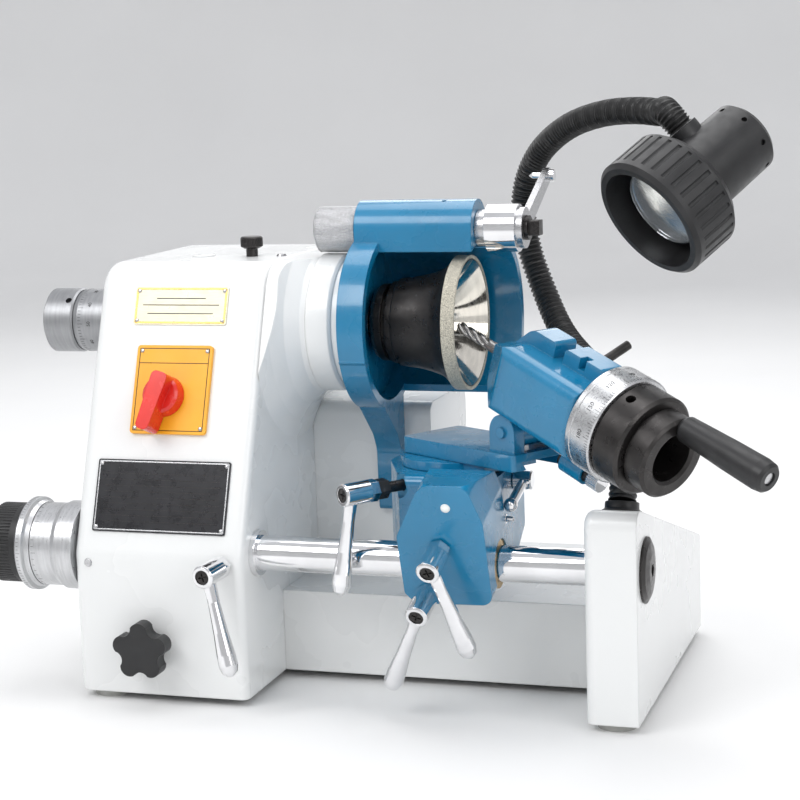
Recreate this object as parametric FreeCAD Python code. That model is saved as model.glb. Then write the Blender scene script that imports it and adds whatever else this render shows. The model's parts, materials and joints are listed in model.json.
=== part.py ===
import FreeCAD, Part
import math
import os

from FreeCAD import Placement, Rotation, Vector

# Universal drill and cutter grinder. Millimetres, +Z up, X along the guide bar, +Y to the rear.
# The origin is on the bench, at the centre of the four mounting feet.

# Driving dimensions ---------------------------------------------------------------------------
BASE_LENGTH = 420.0
BASE_DEPTH = 256.0
COLUMN_WIDTH = 134.0
COLUMN_TOP = 315.0
COLUMN_KNEE = 110.0
SLOPE = 0.38
WALL = 7.0
FOOT_HEIGHT = 6.0
FOOT_RADIUS = 15.0
FOOT_INSET_X = 18.5
FOOT_INSET_Y = 20.0
BOLT_RADIUS = 4.5
BED_HEIGHT = 68.0
BED_SETBACK = 78.0
UPRIGHT_WIDTH = 37.0
UPRIGHT_FRONT_HEIGHT = 158.0
UPRIGHT_REAR_HEIGHT = 80.0
CASE_FRONT = 30.0
CASE_RIGHT = 20.0
CASE_TOP = 199.0

BAR_RADIUS = 13.0
BAR_Y = -97.5
BAR_Z = 108.7
BUSH_WALL = 3.5

SPINDLE_Y = 3.5
SPINDLE_Z = 265.0
SPINDLE_RADIUS = 10.0
BEARING_RADIUS = 21.0
BEARING_WIDTH = 12.0
BOSS_RADIUS = 49.0
WHEEL_RADIUS = 50.0
WHEEL_FACE_X = 63.0
WHEEL_LAND = 10.0
GUARD_RADIUS = 65.0
GUARD_WALL = 6.5
GUARD_LEFT = -21.0
GUARD_BAND = 20.0
GUARD_RIM_X = 86.0

DRESSER_Z = 335.0
DRESSER_BARREL_RADIUS = 21.5
DRESSER_SHAFT_RADIUS = 9.0
DRESSER_ARM_LENGTH = 94.0
DRESSER_ARM_REST = 24.0

BRACKET_LEFT = 45.0
BRACKET_RIGHT = 108.0
BRACKET_LEAN = 18.0
KNEE_TOP = 168.0
PIVOT_X = 60.5
PIVOT_Y = -35.0
TABLE_RADIUS = 42.0
HEAD_YAW = 32.2
HEAD_TILT = 19.15
TIP_REACH = 6.0
TIP_Z = 267.7
TOOL_RADIUS = 4.0
HEAD_FRONT = 52.0
HEAD_REAR = 152.0
HEAD_HALF_WIDTH = 33.0
HEAD_ABOVE = 23.0
HEAD_BELOW = 27.0
QUILL_RADIUS = 16.0
TILT_PIN_S = 85.0
TILT_PIN_V = -41.0
TILT_PIN_RADIUS = 4.0
RING_RADIUS = 38.0
NUT_RADIUS = 35.0
HEAD_END = 217.0

MOTOR_RADIUS = 41.0
MOTOR_Y = 79.0
MOTOR_Z = 122.0
PULLEY_RADIUS = 26.0
MOTOR_PULLEY_RADIUS = 30.0
PULLEY_LEFT = -176.0
PULLEY_WIDTH = 18.0

LEVER_HUB_RADIUS = 8.3
LEVER_HUB_LENGTH = 28.0
LEVER_STUD_RADIUS = 4.0
LEVER_REACH = 74.0
LEVER_SPREAD = 6.0

NECK_RADIUS = 10.0
LAMP_BEZEL_RADIUS = 46.0
LAMP_BEZEL_LENGTH = 46.0
LAMP_BARREL_RADIUS = 27.5
LAMP_BARREL_LENGTH = 58.0

GAP = 0.3
RUNNING = 0.05
PLATE = 1.2

# Values that follow ---------------------------------------------------------------------------
LEFT = -BASE_LENGTH / 2
RIGHT = BASE_LENGTH / 2
FRONT = -BASE_DEPTH / 2
BACK = BASE_DEPTH / 2
COLUMN_RIGHT = LEFT + COLUMN_WIDTH
UPRIGHT_LEFT = RIGHT - UPRIGHT_WIDTH
BED_FRONT = FRONT + BED_SETBACK
FOOT_X = BASE_LENGTH / 2 - FOOT_INSET_X
FOOT_Y = BASE_DEPTH / 2 - FOOT_INSET_Y
GUARD_INNER = GUARD_RADIUS - GUARD_WALL
GUARD_BAND_RIGHT = GUARD_LEFT + GUARD_BAND
BUSH_RADIUS = BAR_RADIUS + BUSH_WALL
SLEEVE_RADIUS = BAR_RADIUS + 4.5

ORIGIN = Vector(0, 0, 0)
X_AXIS = Vector(1, 0, 0)
Y_AXIS = Vector(0, 1, 0)
Z_AXIS = Vector(0, 0, 1)
TO_YZ = Rotation(Vector(1, 1, 1), 120)
TO_XZ = Rotation(X_AXIS, 90)

SLOPE_ANGLE = math.degrees(math.atan(SLOPE))
SLOPE_FRAME = Placement(Vector(0, FRONT, COLUMN_KNEE), Rotation(X_AXIS, -SLOPE_ANGLE))
LEAN_FRAME = Placement(Vector(0, BAR_Y, BAR_Z), Rotation(X_AXIS, BRACKET_LEAN))
SWIVEL_FRAME = Placement(Vector(PIVOT_X, PIVOT_Y, 0), Rotation(Z_AXIS, -HEAD_YAW))
HEAD_FRAME = SWIVEL_FRAME.multiply(Placement(Vector(TIP_REACH, 0, TIP_Z), Rotation(Y_AXIS, HEAD_TILT)))

LAMP_AIM = Vector(-0.57, -0.63, -0.53).normalize()
LAMP_FRONT = Vector(207.4, -60.0, 344.1)
LAMP_REAR_RIM = LAMP_FRONT - LAMP_AIM * LAMP_BEZEL_LENGTH
NECK_SIDE = Vector(-0.617, -0.097, 0.78).normalize()
NECK_SIDE = (NECK_SIDE - LAMP_AIM * NECK_SIDE.dot(LAMP_AIM)).normalize()
LAMP_ANCHOR = LAMP_REAR_RIM - LAMP_AIM * 20.0
NECK_END = LAMP_ANCHOR + NECK_SIDE * (LAMP_BARREL_RADIUS + 6.0)


# Shape helpers --------------------------------------------------------------------------------
def box(x, y, z):
    """Block between three pairs of coordinates."""
    return Part.makeBox(x[1] - x[0], y[1] - y[0], z[1] - z[0], Vector(x[0], y[0], z[0]))


def rod(radius, start, end):
    """Cylinder from start to end."""
    run = end - start
    return Part.makeCylinder(radius, run.Length, start, run)


def x_rod(radius, x_start, x_end, y, z):
    """Cylinder along X."""
    return rod(radius, Vector(x_start, y, z), Vector(x_end, y, z))


def x_tube(outer, inner, x_start, x_end, y, z):
    """Ring along X with a through bore."""
    return x_rod(outer, x_start, x_end, y, z).cut(x_rod(inner, x_start - 1, x_end + 1, y, z))


def turned(profile, base, axis):
    """Solid of revolution; profile holds (distance from base along axis, radius) pairs."""
    points = [Vector(along, radius, 0) for along, radius in profile]
    face = Part.Face(Part.makePolygon(points + points[:1]))
    solid = face.revolve(ORIGIN, X_AXIS, 360)
    solid.Placement = Placement(base, Rotation(X_AXIS, axis))
    return solid


def rounded_outline(corners):
    """Closed wire in the XY plane through (a, b, radius) corners, each rounded by a tangent arc."""
    joins = []
    for index, corner in enumerate(corners):
        here = Vector(corner[0], corner[1], 0)
        before = Vector(corners[index - 1][0], corners[index - 1][1], 0)
        after_corner = corners[(index + 1) % len(corners)]
        after = Vector(after_corner[0], after_corner[1], 0)
        inward = (before - here).normalize()
        outward = (after - here).normalize()
        if corner[2] == 0:
            joins.append((here, None, here))
            continue
        half = inward.getAngle(outward) / 2
        middle = (inward + outward).normalize()
        tangent = corner[2] / math.tan(half)
        arc_middle = here + middle * (corner[2] / math.sin(half) - corner[2])
        joins.append((here + inward * tangent, arc_middle, here + outward * tangent))
    edges = []
    for index, join in enumerate(joins):
        if join[1] is not None:
            edges.append(Part.Arc(join[0], join[1], join[2]).toShape())
        following = joins[(index + 1) % len(joins)][0]
        if join[2].distanceToPoint(following) > 1e-6:
            edges.append(Part.makeLine(join[2], following))
    return Part.Wire(edges)


def prism(corners, start, end, rotation=Rotation()):
    """Rounded outline pushed from start to end along the turned Z direction."""
    solid = Part.Face(rounded_outline(corners)).extrude(Vector(0, 0, end - start))
    shift = rotation.multVec(Vector(0, 0, start))
    solid.Placement = Placement(shift, rotation)
    return solid


def yz_prism(corners, x_start, x_end):
    """(y, z, radius) outline pushed along X."""
    return prism(corners, x_start, x_end, TO_YZ)


def xz_prism(corners, y_front, y_back):
    """(x, z, radius) outline pushed along Y."""
    return prism(corners, -y_back, -y_front, TO_XZ)


def placed(shape, frame):
    """Shape moved from a local frame into the machine's frame."""
    moved = shape.copy()
    moved.Placement = frame.multiply(moved.Placement)
    return moved


def joined(shapes):
    """One clean solid from overlapping shapes."""
    return shapes[0].multiFuse(shapes[1:]).removeSplitter()


def group(shapes):
    """Several separate solids in one node."""
    return Part.makeCompound(shapes)


def hex_prism(across_flats, start, end, rotation=Rotation()):
    """Hexagon bar centred on the local Z axis."""
    radius = across_flats / math.sqrt(3)
    corners = [(radius * math.cos(math.radians(60 * i)), radius * math.sin(math.radians(60 * i)), 0)
               for i in range(6)]
    return prism(corners, start, end, rotation)


def knurled(radius, x_start, x_end, y, z, ridges, depth):
    """Cylinder along X with straight grooves cut round it."""
    solid = x_rod(radius, x_start, x_end, y, z)
    grooves = []
    for index in range(ridges):
        angle = 2 * math.pi * index / ridges
        centre_y = y + radius * math.cos(angle)
        centre_z = z + radius * math.sin(angle)
        grooves.append(x_rod(depth, x_start - 1, x_end + 1, centre_y, centre_z))
    return solid.cut(Part.makeCompound(grooves))


# Column, bed and upright ----------------------------------------------------------------------
def slope_y(z):
    """Y of the sloping front face at height z."""
    return FRONT + SLOPE * (z - COLUMN_KNEE)


def column_outline(inset):
    """Side outline of the column, shrunk by inset; the inner outline runs out of the open bottom."""
    bottom = FOOT_HEIGHT if inset == 0 else FOOT_HEIGHT - 10
    top = COLUMN_TOP - inset
    shift = inset / math.cos(math.radians(SLOPE_ANGLE))
    return [(FRONT + inset, bottom, 0),
            (FRONT + inset, COLUMN_KNEE + inset * SLOPE / 2, 18),
            (slope_y(top) + shift, top, 26 - inset),
            (BACK - inset, top, 30 - inset),
            (BACK - inset, bottom, 0)]


def spindle_flare(x_end):
    """Boss round the spindle that sweeps out of the column's right wall."""
    profile = [(0, 0), (0, 88), (6, 74), (13, 62), (22, 53), (32, BOSS_RADIUS), (x_end - COLUMN_RIGHT, BOSS_RADIUS),
               (x_end - COLUMN_RIGHT, 0)]
    return turned(profile, Vector(COLUMN_RIGHT, SPINDLE_Y, SPINDLE_Z), X_AXIS)


FLANGE_LEFT = -50.0
COLUMN_BOSS_END = FLANGE_LEFT
HOUSING_BORE = 30.0
REAR_WINDOW_Z = (44.0, 285.0)
REAR_WINDOW_X = (LEFT + 22.0, COLUMN_RIGHT - 22.0)
FEED_HOLE_RADIUS = 12.0
QUILL_HOLE_RADIUS = 9.0
SWITCH_X = -146.6
SWITCH_Z = 220.2
STAR_X = -150.0
STAR_Z = 44.0
LOCK_X = -90.5
LOCK_Z = 105.6
GLAND_X = -150.0
GLAND_Z = 22.0
GLAND_RADIUS = 8.0


def bolt_lug(x, y):
    """Lug in a corner of a casting that takes a mounting bolt."""
    return rod(FOOT_RADIUS - 1.0, Vector(x, y, FOOT_HEIGHT), Vector(x, y, FOOT_HEIGHT + 14))


def bolt_hole(x, y):
    return rod(BOLT_RADIUS, Vector(x, y, -1), Vector(x, y, FOOT_HEIGHT + 15))


def column_housing():
    outer = yz_prism(column_outline(0), LEFT, COLUMN_RIGHT)
    edges = [edge for edge in outer.Edges
             if abs(edge.BoundBox.XLength) < 0.01 and edge.BoundBox.ZMin > FOOT_HEIGHT - 1
             and edge.BoundBox.ZMax > FOOT_HEIGHT + 1 and edge.BoundBox.XMin < LEFT + 1]
    outer = outer.makeFillet(9.0, edges)
    right_edges = [edge for edge in outer.Edges
                   if abs(edge.BoundBox.XLength) < 0.01 and edge.BoundBox.ZMax > FOOT_HEIGHT + 1
                   and edge.BoundBox.XMin > COLUMN_RIGHT - 0.1]
    outer = outer.makeFillet(6.0, right_edges)
    inner = yz_prism(column_outline(WALL), LEFT + WALL, COLUMN_RIGHT - WALL)
    envelope = yz_prism(column_outline(0), COLUMN_RIGHT - 8, COLUMN_BOSS_END)
    flare = spindle_flare(COLUMN_BOSS_END).common(envelope)
    flare = flare.fuse(x_rod(BOSS_RADIUS, COLUMN_RIGHT - 2, COLUMN_BOSS_END, SPINDLE_Y, SPINDLE_Z))
    shell = outer.cut(inner).fuse(flare)
    bosses = [x_rod(BUSH_RADIUS + 6, COLUMN_RIGHT - 30, COLUMN_RIGHT - 1, BAR_Y, BAR_Z),
              x_rod(BUSH_RADIUS + 6, LEFT + 1, LEFT + 30, BAR_Y, BAR_Z),
              bolt_lug(-FOOT_X, -FOOT_Y),
              bolt_lug(-FOOT_X, FOOT_Y)]
    keep = yz_prism(column_outline(0), LEFT, COLUMN_BOSS_END)
    shell = shell.fuse([boss.common(keep) for boss in bosses])
    shell = shell.cut(column_holes())
    return shell.removeSplitter()


def column_holes():
    """Every bore and window of the column."""
    window = box(REAR_WINDOW_X, (BACK - WALL - 1, BACK + 1), REAR_WINDOW_Z)
    return Part.makeCompound([
        x_rod(HOUSING_BORE, COLUMN_RIGHT - 40, COLUMN_BOSS_END + 1, SPINDLE_Y, SPINDLE_Z),
        x_rod(BUSH_RADIUS, COLUMN_RIGHT - 31, COLUMN_RIGHT + 1, BAR_Y, BAR_Z),
        x_rod(FEED_HOLE_RADIUS, LEFT - 1, LEFT + 31, BAR_Y, BAR_Z),
        x_rod(QUILL_HOLE_RADIUS, LEFT - 1, LEFT + WALL + 1, SPINDLE_Y, SPINDLE_Z),
        x_rod(MOTOR_RADIUS + 1.5, COLUMN_RIGHT - WALL - 1, COLUMN_RIGHT + 1, MOTOR_Y, MOTOR_Z),
        window,
        bolt_hole(-FOOT_X, -FOOT_Y),
        bolt_hole(-FOOT_X, FOOT_Y),
        star_hole(),
        lock_hole(),
        switch_hole(),
        gland_hole(),
        thumb_hole()])


def drive_case():
    """White case on the bed, behind the guard, round the motor."""
    outline = [(CASE_FRONT, BED_HEIGHT, 0), (CASE_FRONT, CASE_TOP, 10), (BACK, CASE_TOP, 16), (BACK, BED_HEIGHT, 0)]
    outer = yz_prism(outline, COLUMN_RIGHT, CASE_RIGHT)
    wall = WALL - 1.5
    inner = box((COLUMN_RIGHT - 1, CASE_RIGHT - wall), (CASE_FRONT + wall, BACK - wall), (BED_HEIGHT - 1, CASE_TOP - wall))
    return outer.cut([inner, spindle_flare(COLUMN_BOSS_END)])


def bed():
    outer = box((COLUMN_RIGHT, UPRIGHT_LEFT), (BED_FRONT, BACK), (FOOT_HEIGHT, BED_HEIGHT))
    inner = box((COLUMN_RIGHT - 1, UPRIGHT_LEFT + 1), (BED_FRONT + WALL, BACK - WALL), (FOOT_HEIGHT - 1, BED_HEIGHT - WALL))
    return outer.cut(inner)


UPRIGHT_SLOPE = (UPRIGHT_FRONT_HEIGHT - UPRIGHT_REAR_HEIGHT) / BASE_DEPTH
END_CAP_RADIUS = 20.0
END_CAP_RISE = 5.0


def upright_top(y):
    """Height of the upright's sloping top at depth y."""
    return UPRIGHT_FRONT_HEIGHT - UPRIGHT_SLOPE * (y - FRONT)


def end_support():
    side = [(FRONT, FOOT_HEIGHT, 0), (FRONT, upright_top(FRONT), 12), (BACK, upright_top(BACK), 8), (BACK, FOOT_HEIGHT, 0)]
    outer = yz_prism(side, UPRIGHT_LEFT, RIGHT)
    edges = [edge for edge in outer.Edges
             if abs(edge.BoundBox.XLength) < 0.01 and edge.BoundBox.ZMin > UPRIGHT_REAR_HEIGHT - 10
             and edge.BoundBox.XMin < UPRIGHT_LEFT + 1]
    outer = outer.makeFillet(7.0, edges)
    inner = box((UPRIGHT_LEFT + WALL, RIGHT - WALL), (FRONT + WALL, BACK - WALL), (FOOT_HEIGHT - 1, UPRIGHT_REAR_HEIGHT - WALL - 4))
    boss = x_rod(BUSH_RADIUS + 7, UPRIGHT_LEFT, RIGHT, BAR_Y, BAR_Z).common(outer)
    bolts = [bolt_lug(FOOT_X, -FOOT_Y), bolt_lug(FOOT_X, FOOT_Y)]
    shell = outer.cut(inner).fuse([boss] + [lug.common(outer) for lug in bolts])
    holes = [x_rod(BUSH_RADIUS, UPRIGHT_LEFT - 1, RIGHT - 8, BAR_Y, BAR_Z),
             x_rod(END_CAP_RADIUS - 12, RIGHT - 9, RIGHT + 1, BAR_Y, BAR_Z),
             bolt_hole(FOOT_X, -FOOT_Y),
             bolt_hole(FOOT_X, FOOT_Y),
             neck_socket()]
    return shell.cut(holes).removeSplitter()


def end_screw():
    """Domed cap screw that closes the bar's bore in the upright."""
    dome = turned([(-7, 0), (-7, 7.8), (0, 7.8), (0, END_CAP_RADIUS + 3), (1.5, END_CAP_RADIUS + 3),
                   (3.5, END_CAP_RADIUS - 1), (END_CAP_RISE, END_CAP_RADIUS - 9), (END_CAP_RISE, 0)],
                  Vector(RIGHT, BAR_Y, BAR_Z), X_AXIS)
    socket = hex_prism(8, RIGHT + 1.0, RIGHT + END_CAP_RISE + 1, TO_YZ)
    socket.translate(Vector(0, BAR_Y, BAR_Z))
    return dome.cut(socket)


def rear_cover():
    """Louvred sheet over the column's rear window."""
    plate = box((REAR_WINDOW_X[0] - 10, REAR_WINDOW_X[1] + 10), (BACK, BACK + 2), (REAR_WINDOW_Z[0] - 10, REAR_WINDOW_Z[1] - 4))
    middle = (REAR_WINDOW_X[0] + REAR_WINDOW_X[1]) / 2
    slots = []
    for row in range(8):
        z = REAR_WINDOW_Z[0] + 26 + row * 12
        slots.append(box((middle - 28, middle + 28), (BACK - 1, BACK + 3), (z, z + 4)))
    screws = [Part.makeCylinder(2.1, 6, Vector(x, BACK - 2, z), Y_AXIS) for x, z in rear_screw_places()]
    return plate.cut(slots + screws)


def rear_screw_places():
    xs = (REAR_WINDOW_X[0] - 5, REAR_WINDOW_X[1] + 5)
    zs = (REAR_WINDOW_Z[0] - 5, 160.0, REAR_WINDOW_Z[1] - 9)
    return [(x, z) for x in xs for z in zs]


def rubber_feet():
    feet = []
    for x in (-FOOT_X, FOOT_X):
        for y in (-FOOT_Y, FOOT_Y):
            foot = turned([(0, 0), (0, FOOT_RADIUS - 1), (FOOT_HEIGHT, FOOT_RADIUS), (FOOT_HEIGHT, 0)],
                          Vector(x, y, 0), Z_AXIS)
            feet.append(foot.cut(bolt_hole(x, y)))
    return group(feet)


# Plates, screws and switches on the column ------------------------------------------------------
def on_slope(x, z):
    """Point of the sloping front face."""
    return Vector(x, slope_y(z), z)


SLOPE_OUT = Vector(0, -math.cos(math.radians(SLOPE_ANGLE)), math.sin(math.radians(SLOPE_ANGLE)))
SLOPE_UP = Vector(0, math.sin(math.radians(SLOPE_ANGLE)), math.cos(math.radians(SLOPE_ANGLE)))
NAME_PLATE = ((-179.0, -104.5), (271.0, 298.0))
SWITCH_PLATE = ((-172.0, -112.0), (194.0, 256.0))
WARNING_PLATE = ((-195.0, -90.0), (126.0, 176.0))


def slope_plate(span, thickness, corner):
    """Rounded plate lying on the sloping face between x and z limits."""
    (x0, x1), (z0, z1) = span
    rise0 = (z0 - COLUMN_KNEE) / SLOPE_UP.z
    rise1 = (z1 - COLUMN_KNEE) / SLOPE_UP.z
    outline = [(x0, rise0, corner), (x0, rise1, corner), (x1, rise1, corner), (x1, rise0, corner)]
    plate = xz_prism(outline, -thickness, 0)
    return placed(plate, SLOPE_FRAME)


def plate_rivets(span, inset, thickness):
    """Round-headed rivets standing on a plate's corners."""
    (x0, x1), (z0, z1) = span
    rivets = []
    for x in (x0 + inset, x1 - inset):
        for z in (z0 + inset, z1 - inset):
            base = on_slope(x, z) + SLOPE_OUT * thickness
            rivets.append(turned([(0, 0), (0, 1.6), (0.6, 1.2), (0.9, 0)], base, SLOPE_OUT))
    return rivets


def name_plate():
    return slope_plate(NAME_PLATE, PLATE, 1.5)


def warning_plate():
    return slope_plate(WARNING_PLATE, PLATE, 1.5)


def switch_plate():
    plate = slope_plate(SWITCH_PLATE, 3.0, 2.5)
    return plate.cut(switch_hole())


def switch_hole():
    start = on_slope(SWITCH_X, SWITCH_Z)
    return rod(6 + GAP, start - SLOPE_OUT * 14, start + SLOPE_OUT * 10)


def switch_handle():
    """Red rotary handle: round boss with a raised grip bar and its shaft."""
    centre = on_slope(SWITCH_X, SWITCH_Z) + SLOPE_OUT * (3.0 + GAP)
    boss = turned([(0, 0), (0, 15.5), (8, 14.0), (9.5, 12.0), (9.5, 0)], centre, SLOPE_OUT)
    shaft = rod(6, centre - SLOPE_OUT * 15, centre + SLOPE_OUT)
    grip = xz_prism([(-5, -29, 4), (-6.5, 15, 4), (6.5, 15, 4), (5, -29, 4)], -20, -1)
    frame = Placement(centre, Rotation(X_AXIS, -SLOPE_ANGLE).multiply(Rotation(Y_AXIS, 15)))
    return joined([boss, shaft, placed(grip, frame)])


def thumb_hole():
    return rod(4.5 + GAP, Vector(-110, SPINDLE_Y, COLUMN_TOP - WALL - 1), Vector(-110, SPINDLE_Y, COLUMN_TOP + 1))


def thumb_screw():
    """Knurled screw on top of the column that locks the spindle quill."""
    stem = rod(4.5, Vector(-110, SPINDLE_Y, COLUMN_TOP - 6), Vector(-110, SPINDLE_Y, COLUMN_TOP + 7))
    head = turned([(6, 0), (6, 6), (7.5, 8.5), (14, 8.5), (15, 7.5), (15, 0)],
                  Vector(-110, SPINDLE_Y, COLUMN_TOP), Z_AXIS)
    grooves = []
    for index in range(24):
        angle = math.radians(15 * index)
        foot = Vector(-110 + 8.7 * math.cos(angle), SPINDLE_Y + 8.7 * math.sin(angle), COLUMN_TOP + 8)
        grooves.append(rod(0.6, foot, foot + Z_AXIS * 5.5))
    return joined([stem, head]).cut(grooves)


def small_fasteners():
    """Rivets, plug, set screws and cover screws, each a separate solid."""
    pieces = plate_rivets(NAME_PLATE, 3.0, PLATE) + plate_rivets(WARNING_PLATE, 3.0, PLATE)
    pieces += plate_rivets(SWITCH_PLATE, 4.0, 3.0)
    for x, z in rear_screw_places():
        pieces.append(turned([(0, 0), (0, 3.6), (1.2, 3.2), (2.2, 1.8), (2.2, 0)], Vector(x, BACK + 2, z), Y_AXIS))
    pieces.append(turned([(0, 0), (0, 9), (1.4, 8), (1.4, 0)], Vector(-150, SPINDLE_Y, COLUMN_TOP), Z_AXIS))
    pieces.append(turned([(0, 0), (0, 4), (1.6, 3.2), (1.6, 0)], Vector(-86, SPINDLE_Y, COLUMN_TOP), Z_AXIS))
    pieces.append(turned([(0, 0), (0, 3.2), (1.2, 2.6), (1.2, 0)], Vector(-197.0, FRONT, 103.4), Y_AXIS * -1))
    return group(pieces)


def star_hole():
    return rod(4 + GAP, Vector(STAR_X, FRONT - 1, STAR_Z), Vector(STAR_X, FRONT + WALL + 1, STAR_Z))


def star_knob():
    """Five-lobed black knob on a steel stud."""
    lobe_circle = 14.0
    lobes = [Part.makeCylinder(18.0, 12)]
    for index in range(5):
        angle = math.radians(90 + 72 * index)
        lobes.append(Part.makeCylinder(7.2, 12, Vector(lobe_circle * math.cos(angle), lobe_circle * math.sin(angle), 0)))
    body = joined(lobes)
    hollows = []
    for index in range(5):
        angle = math.radians(126 + 72 * index)
        hollows.append(Part.makeCylinder(6.5, 14, Vector(21.5 * math.cos(angle), 21.5 * math.sin(angle), -1)))
    body = body.cut(hollows)
    neck = Part.makeCylinder(8.5, 8, Vector(0, 0, -8))
    body = joined([body, neck])
    frame = Placement(Vector(STAR_X, FRONT - 9, STAR_Z), Rotation(X_AXIS, 90))
    body = placed(body, frame)
    stud = rod(4, Vector(STAR_X, FRONT - 1, STAR_Z), Vector(STAR_X, FRONT + 12, STAR_Z))
    return joined([body, stud])


def gland_hole():
    return rod(GLAND_RADIUS, Vector(GLAND_X, BACK - WALL - 1, GLAND_Z), Vector(GLAND_X, BACK + 1, GLAND_Z))


def cable_gland():
    """Threaded gland for the supply cable, with its bore open to the rear."""
    body = rod(GLAND_RADIUS, Vector(GLAND_X, BACK - WALL - 4, GLAND_Z), Vector(GLAND_X, BACK + 3, GLAND_Z))
    nut = hex_prism(19, -BACK - 6, -BACK, TO_XZ)
    nut.translate(Vector(GLAND_X, 0, GLAND_Z))
    dome = turned([(6, 0), (6, 9), (14, 7.5), (14, 0)], Vector(GLAND_X, BACK, GLAND_Z), Y_AXIS)
    bore = rod(4.0, Vector(GLAND_X, BACK - WALL - 5, GLAND_Z), Vector(GLAND_X, BACK + 15, GLAND_Z))
    return joined([body, nut, dome]).cut(bore)


# Spindle, wheel, guard and drive -----------------------------------------------------------------
BEARINGS_X = (-128.0, -40.0)
TUBE_LEFT = -134.0


def spindle_housing():
    """Cartridge bolted to the column boss; it carries both spindle bearings."""
    profile = [(TUBE_LEFT, 0), (TUBE_LEFT, HOUSING_BORE), (FLANGE_LEFT, HOUSING_BORE), (FLANGE_LEFT, BOSS_RADIUS + 3),
               (-33, BOSS_RADIUS + 3), (-31, BOSS_RADIUS + 1), (-31, BOSS_RADIUS), (GUARD_LEFT, BOSS_RADIUS), (GUARD_LEFT, 0)]
    body = turned(profile, Vector(0, SPINDLE_Y, SPINDLE_Z), X_AXIS)
    bores = [x_rod(SPINDLE_RADIUS + 4, TUBE_LEFT - 1, GUARD_LEFT + 1, SPINDLE_Y, SPINDLE_Z),
             x_rod(BEARING_RADIUS, TUBE_LEFT - 1, BEARINGS_X[0] + BEARING_WIDTH, SPINDLE_Y, SPINDLE_Z),
             x_rod(BEARING_RADIUS, BEARINGS_X[1], GUARD_LEFT + 1, SPINDLE_Y, SPINDLE_Z)]
    return body.cut(bores)


def spindle_bearings():
    rings = [x_tube(BEARING_RADIUS, SPINDLE_RADIUS + RUNNING, x, x + BEARING_WIDTH, SPINDLE_Y, SPINDLE_Z)
             for x in BEARINGS_X]
    return group(rings)


def spindle_shaft():
    """Ground shaft with the driven pulley on its left end."""
    shaft = x_rod(SPINDLE_RADIUS, PULLEY_LEFT, 34, SPINDLE_Y, SPINDLE_Z)
    shaft = shaft.cut(x_rod(3.5, 14, 35, SPINDLE_Y, SPINDLE_Z))
    pulley = pulley_ring(PULLEY_RADIUS, SPINDLE_RADIUS, SPINDLE_Y, SPINDLE_Z)
    return group([shaft, pulley])


def pulley_ring(radius, bore, y, z):
    """Flanged flat-belt pulley."""
    profile = [(0, bore), (0, radius + 3), (2.5, radius + 3), (2.5, radius), (PULLEY_WIDTH - 2.5, radius),
               (PULLEY_WIDTH - 2.5, radius + 3), (PULLEY_WIDTH, radius + 3), (PULLEY_WIDTH, bore)]
    return turned(profile, Vector(PULLEY_LEFT, y, z), X_AXIS)


def wheel_hub():
    """Dark steel hub: two stepped flanges and the seat behind the cup."""
    profile = [(-8, SPINDLE_RADIUS), (-8, 27), (-5, 29), (0, 29), (0, 25), (4, 25), (4, 31), (9, 31), (9, SPINDLE_RADIUS)]
    return turned(profile, Vector(0, SPINDLE_Y, SPINDLE_Z), X_AXIS)


def wheel_cup():
    """Flaring cup of the wheel, up to the abrasive rim."""
    land = WHEEL_FACE_X - WHEEL_LAND
    profile = [(9, SPINDLE_RADIUS), (9, 33), (26, 35), (40, 39), (47, 43), (land, WHEEL_RADIUS - 1),
               (land, WHEEL_RADIUS - WHEEL_LAND - 5), (34, 23), (30, 21), (30, SPINDLE_RADIUS)]
    return turned(profile, Vector(0, SPINDLE_Y, SPINDLE_Z), X_AXIS)


def abrasive_rim():
    """Abrasive ring bonded to the cup."""
    land = WHEEL_FACE_X - WHEEL_LAND
    inner_face = WHEEL_RADIUS - WHEEL_LAND
    profile = [(land, WHEEL_RADIUS - WHEEL_LAND - 5), (land, WHEEL_RADIUS), (WHEEL_FACE_X, WHEEL_RADIUS),
               (WHEEL_FACE_X, inner_face)]
    return turned(profile, Vector(0, SPINDLE_Y, SPINDLE_Z), X_AXIS)


def wheel_screw():
    """Black clamping disc and its cap screw in the middle of the cup."""
    disc = turned([(34, 0), (34, 20), (38, 21), (41, 19), (41, 0)], Vector(0, SPINDLE_Y, SPINDLE_Z), X_AXIS)
    disc = disc.cut(x_rod(3.5, 33, 42, SPINDLE_Y, SPINDLE_Z))
    screw = x_rod(3.4, 16, 42, SPINDLE_Y, SPINDLE_Z).fuse(x_rod(7, 41, 47, SPINDLE_Y, SPINDLE_Z))
    socket = hex_prism(6, 43, 48, TO_YZ)
    socket.translate(Vector(0, SPINDLE_Y, SPINDLE_Z))
    return group([disc, screw.cut(socket)])


def ring_sector(outer, inner, x_start, x_end, angle_start, angle_end):
    """Part of a ring about the spindle; angles run from the rear over the top."""
    ring = x_tube(outer, inner, x_start, x_end, SPINDLE_Y, SPINDLE_Z)
    reach = outer * 3
    points = [Vector(x_start - 1, SPINDLE_Y, SPINDLE_Z)]
    steps = 6
    for index in range(steps + 1):
        angle = math.radians(angle_start + (angle_end - angle_start) * index / steps)
        points.append(Vector(x_start - 1, SPINDLE_Y + reach * math.cos(angle), SPINDLE_Z + reach * math.sin(angle)))
    wedge = Part.Face(Part.makePolygon(points + points[:1])).extrude(Vector(x_end - x_start + 2, 0, 0))
    return ring.common(wedge)


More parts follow.
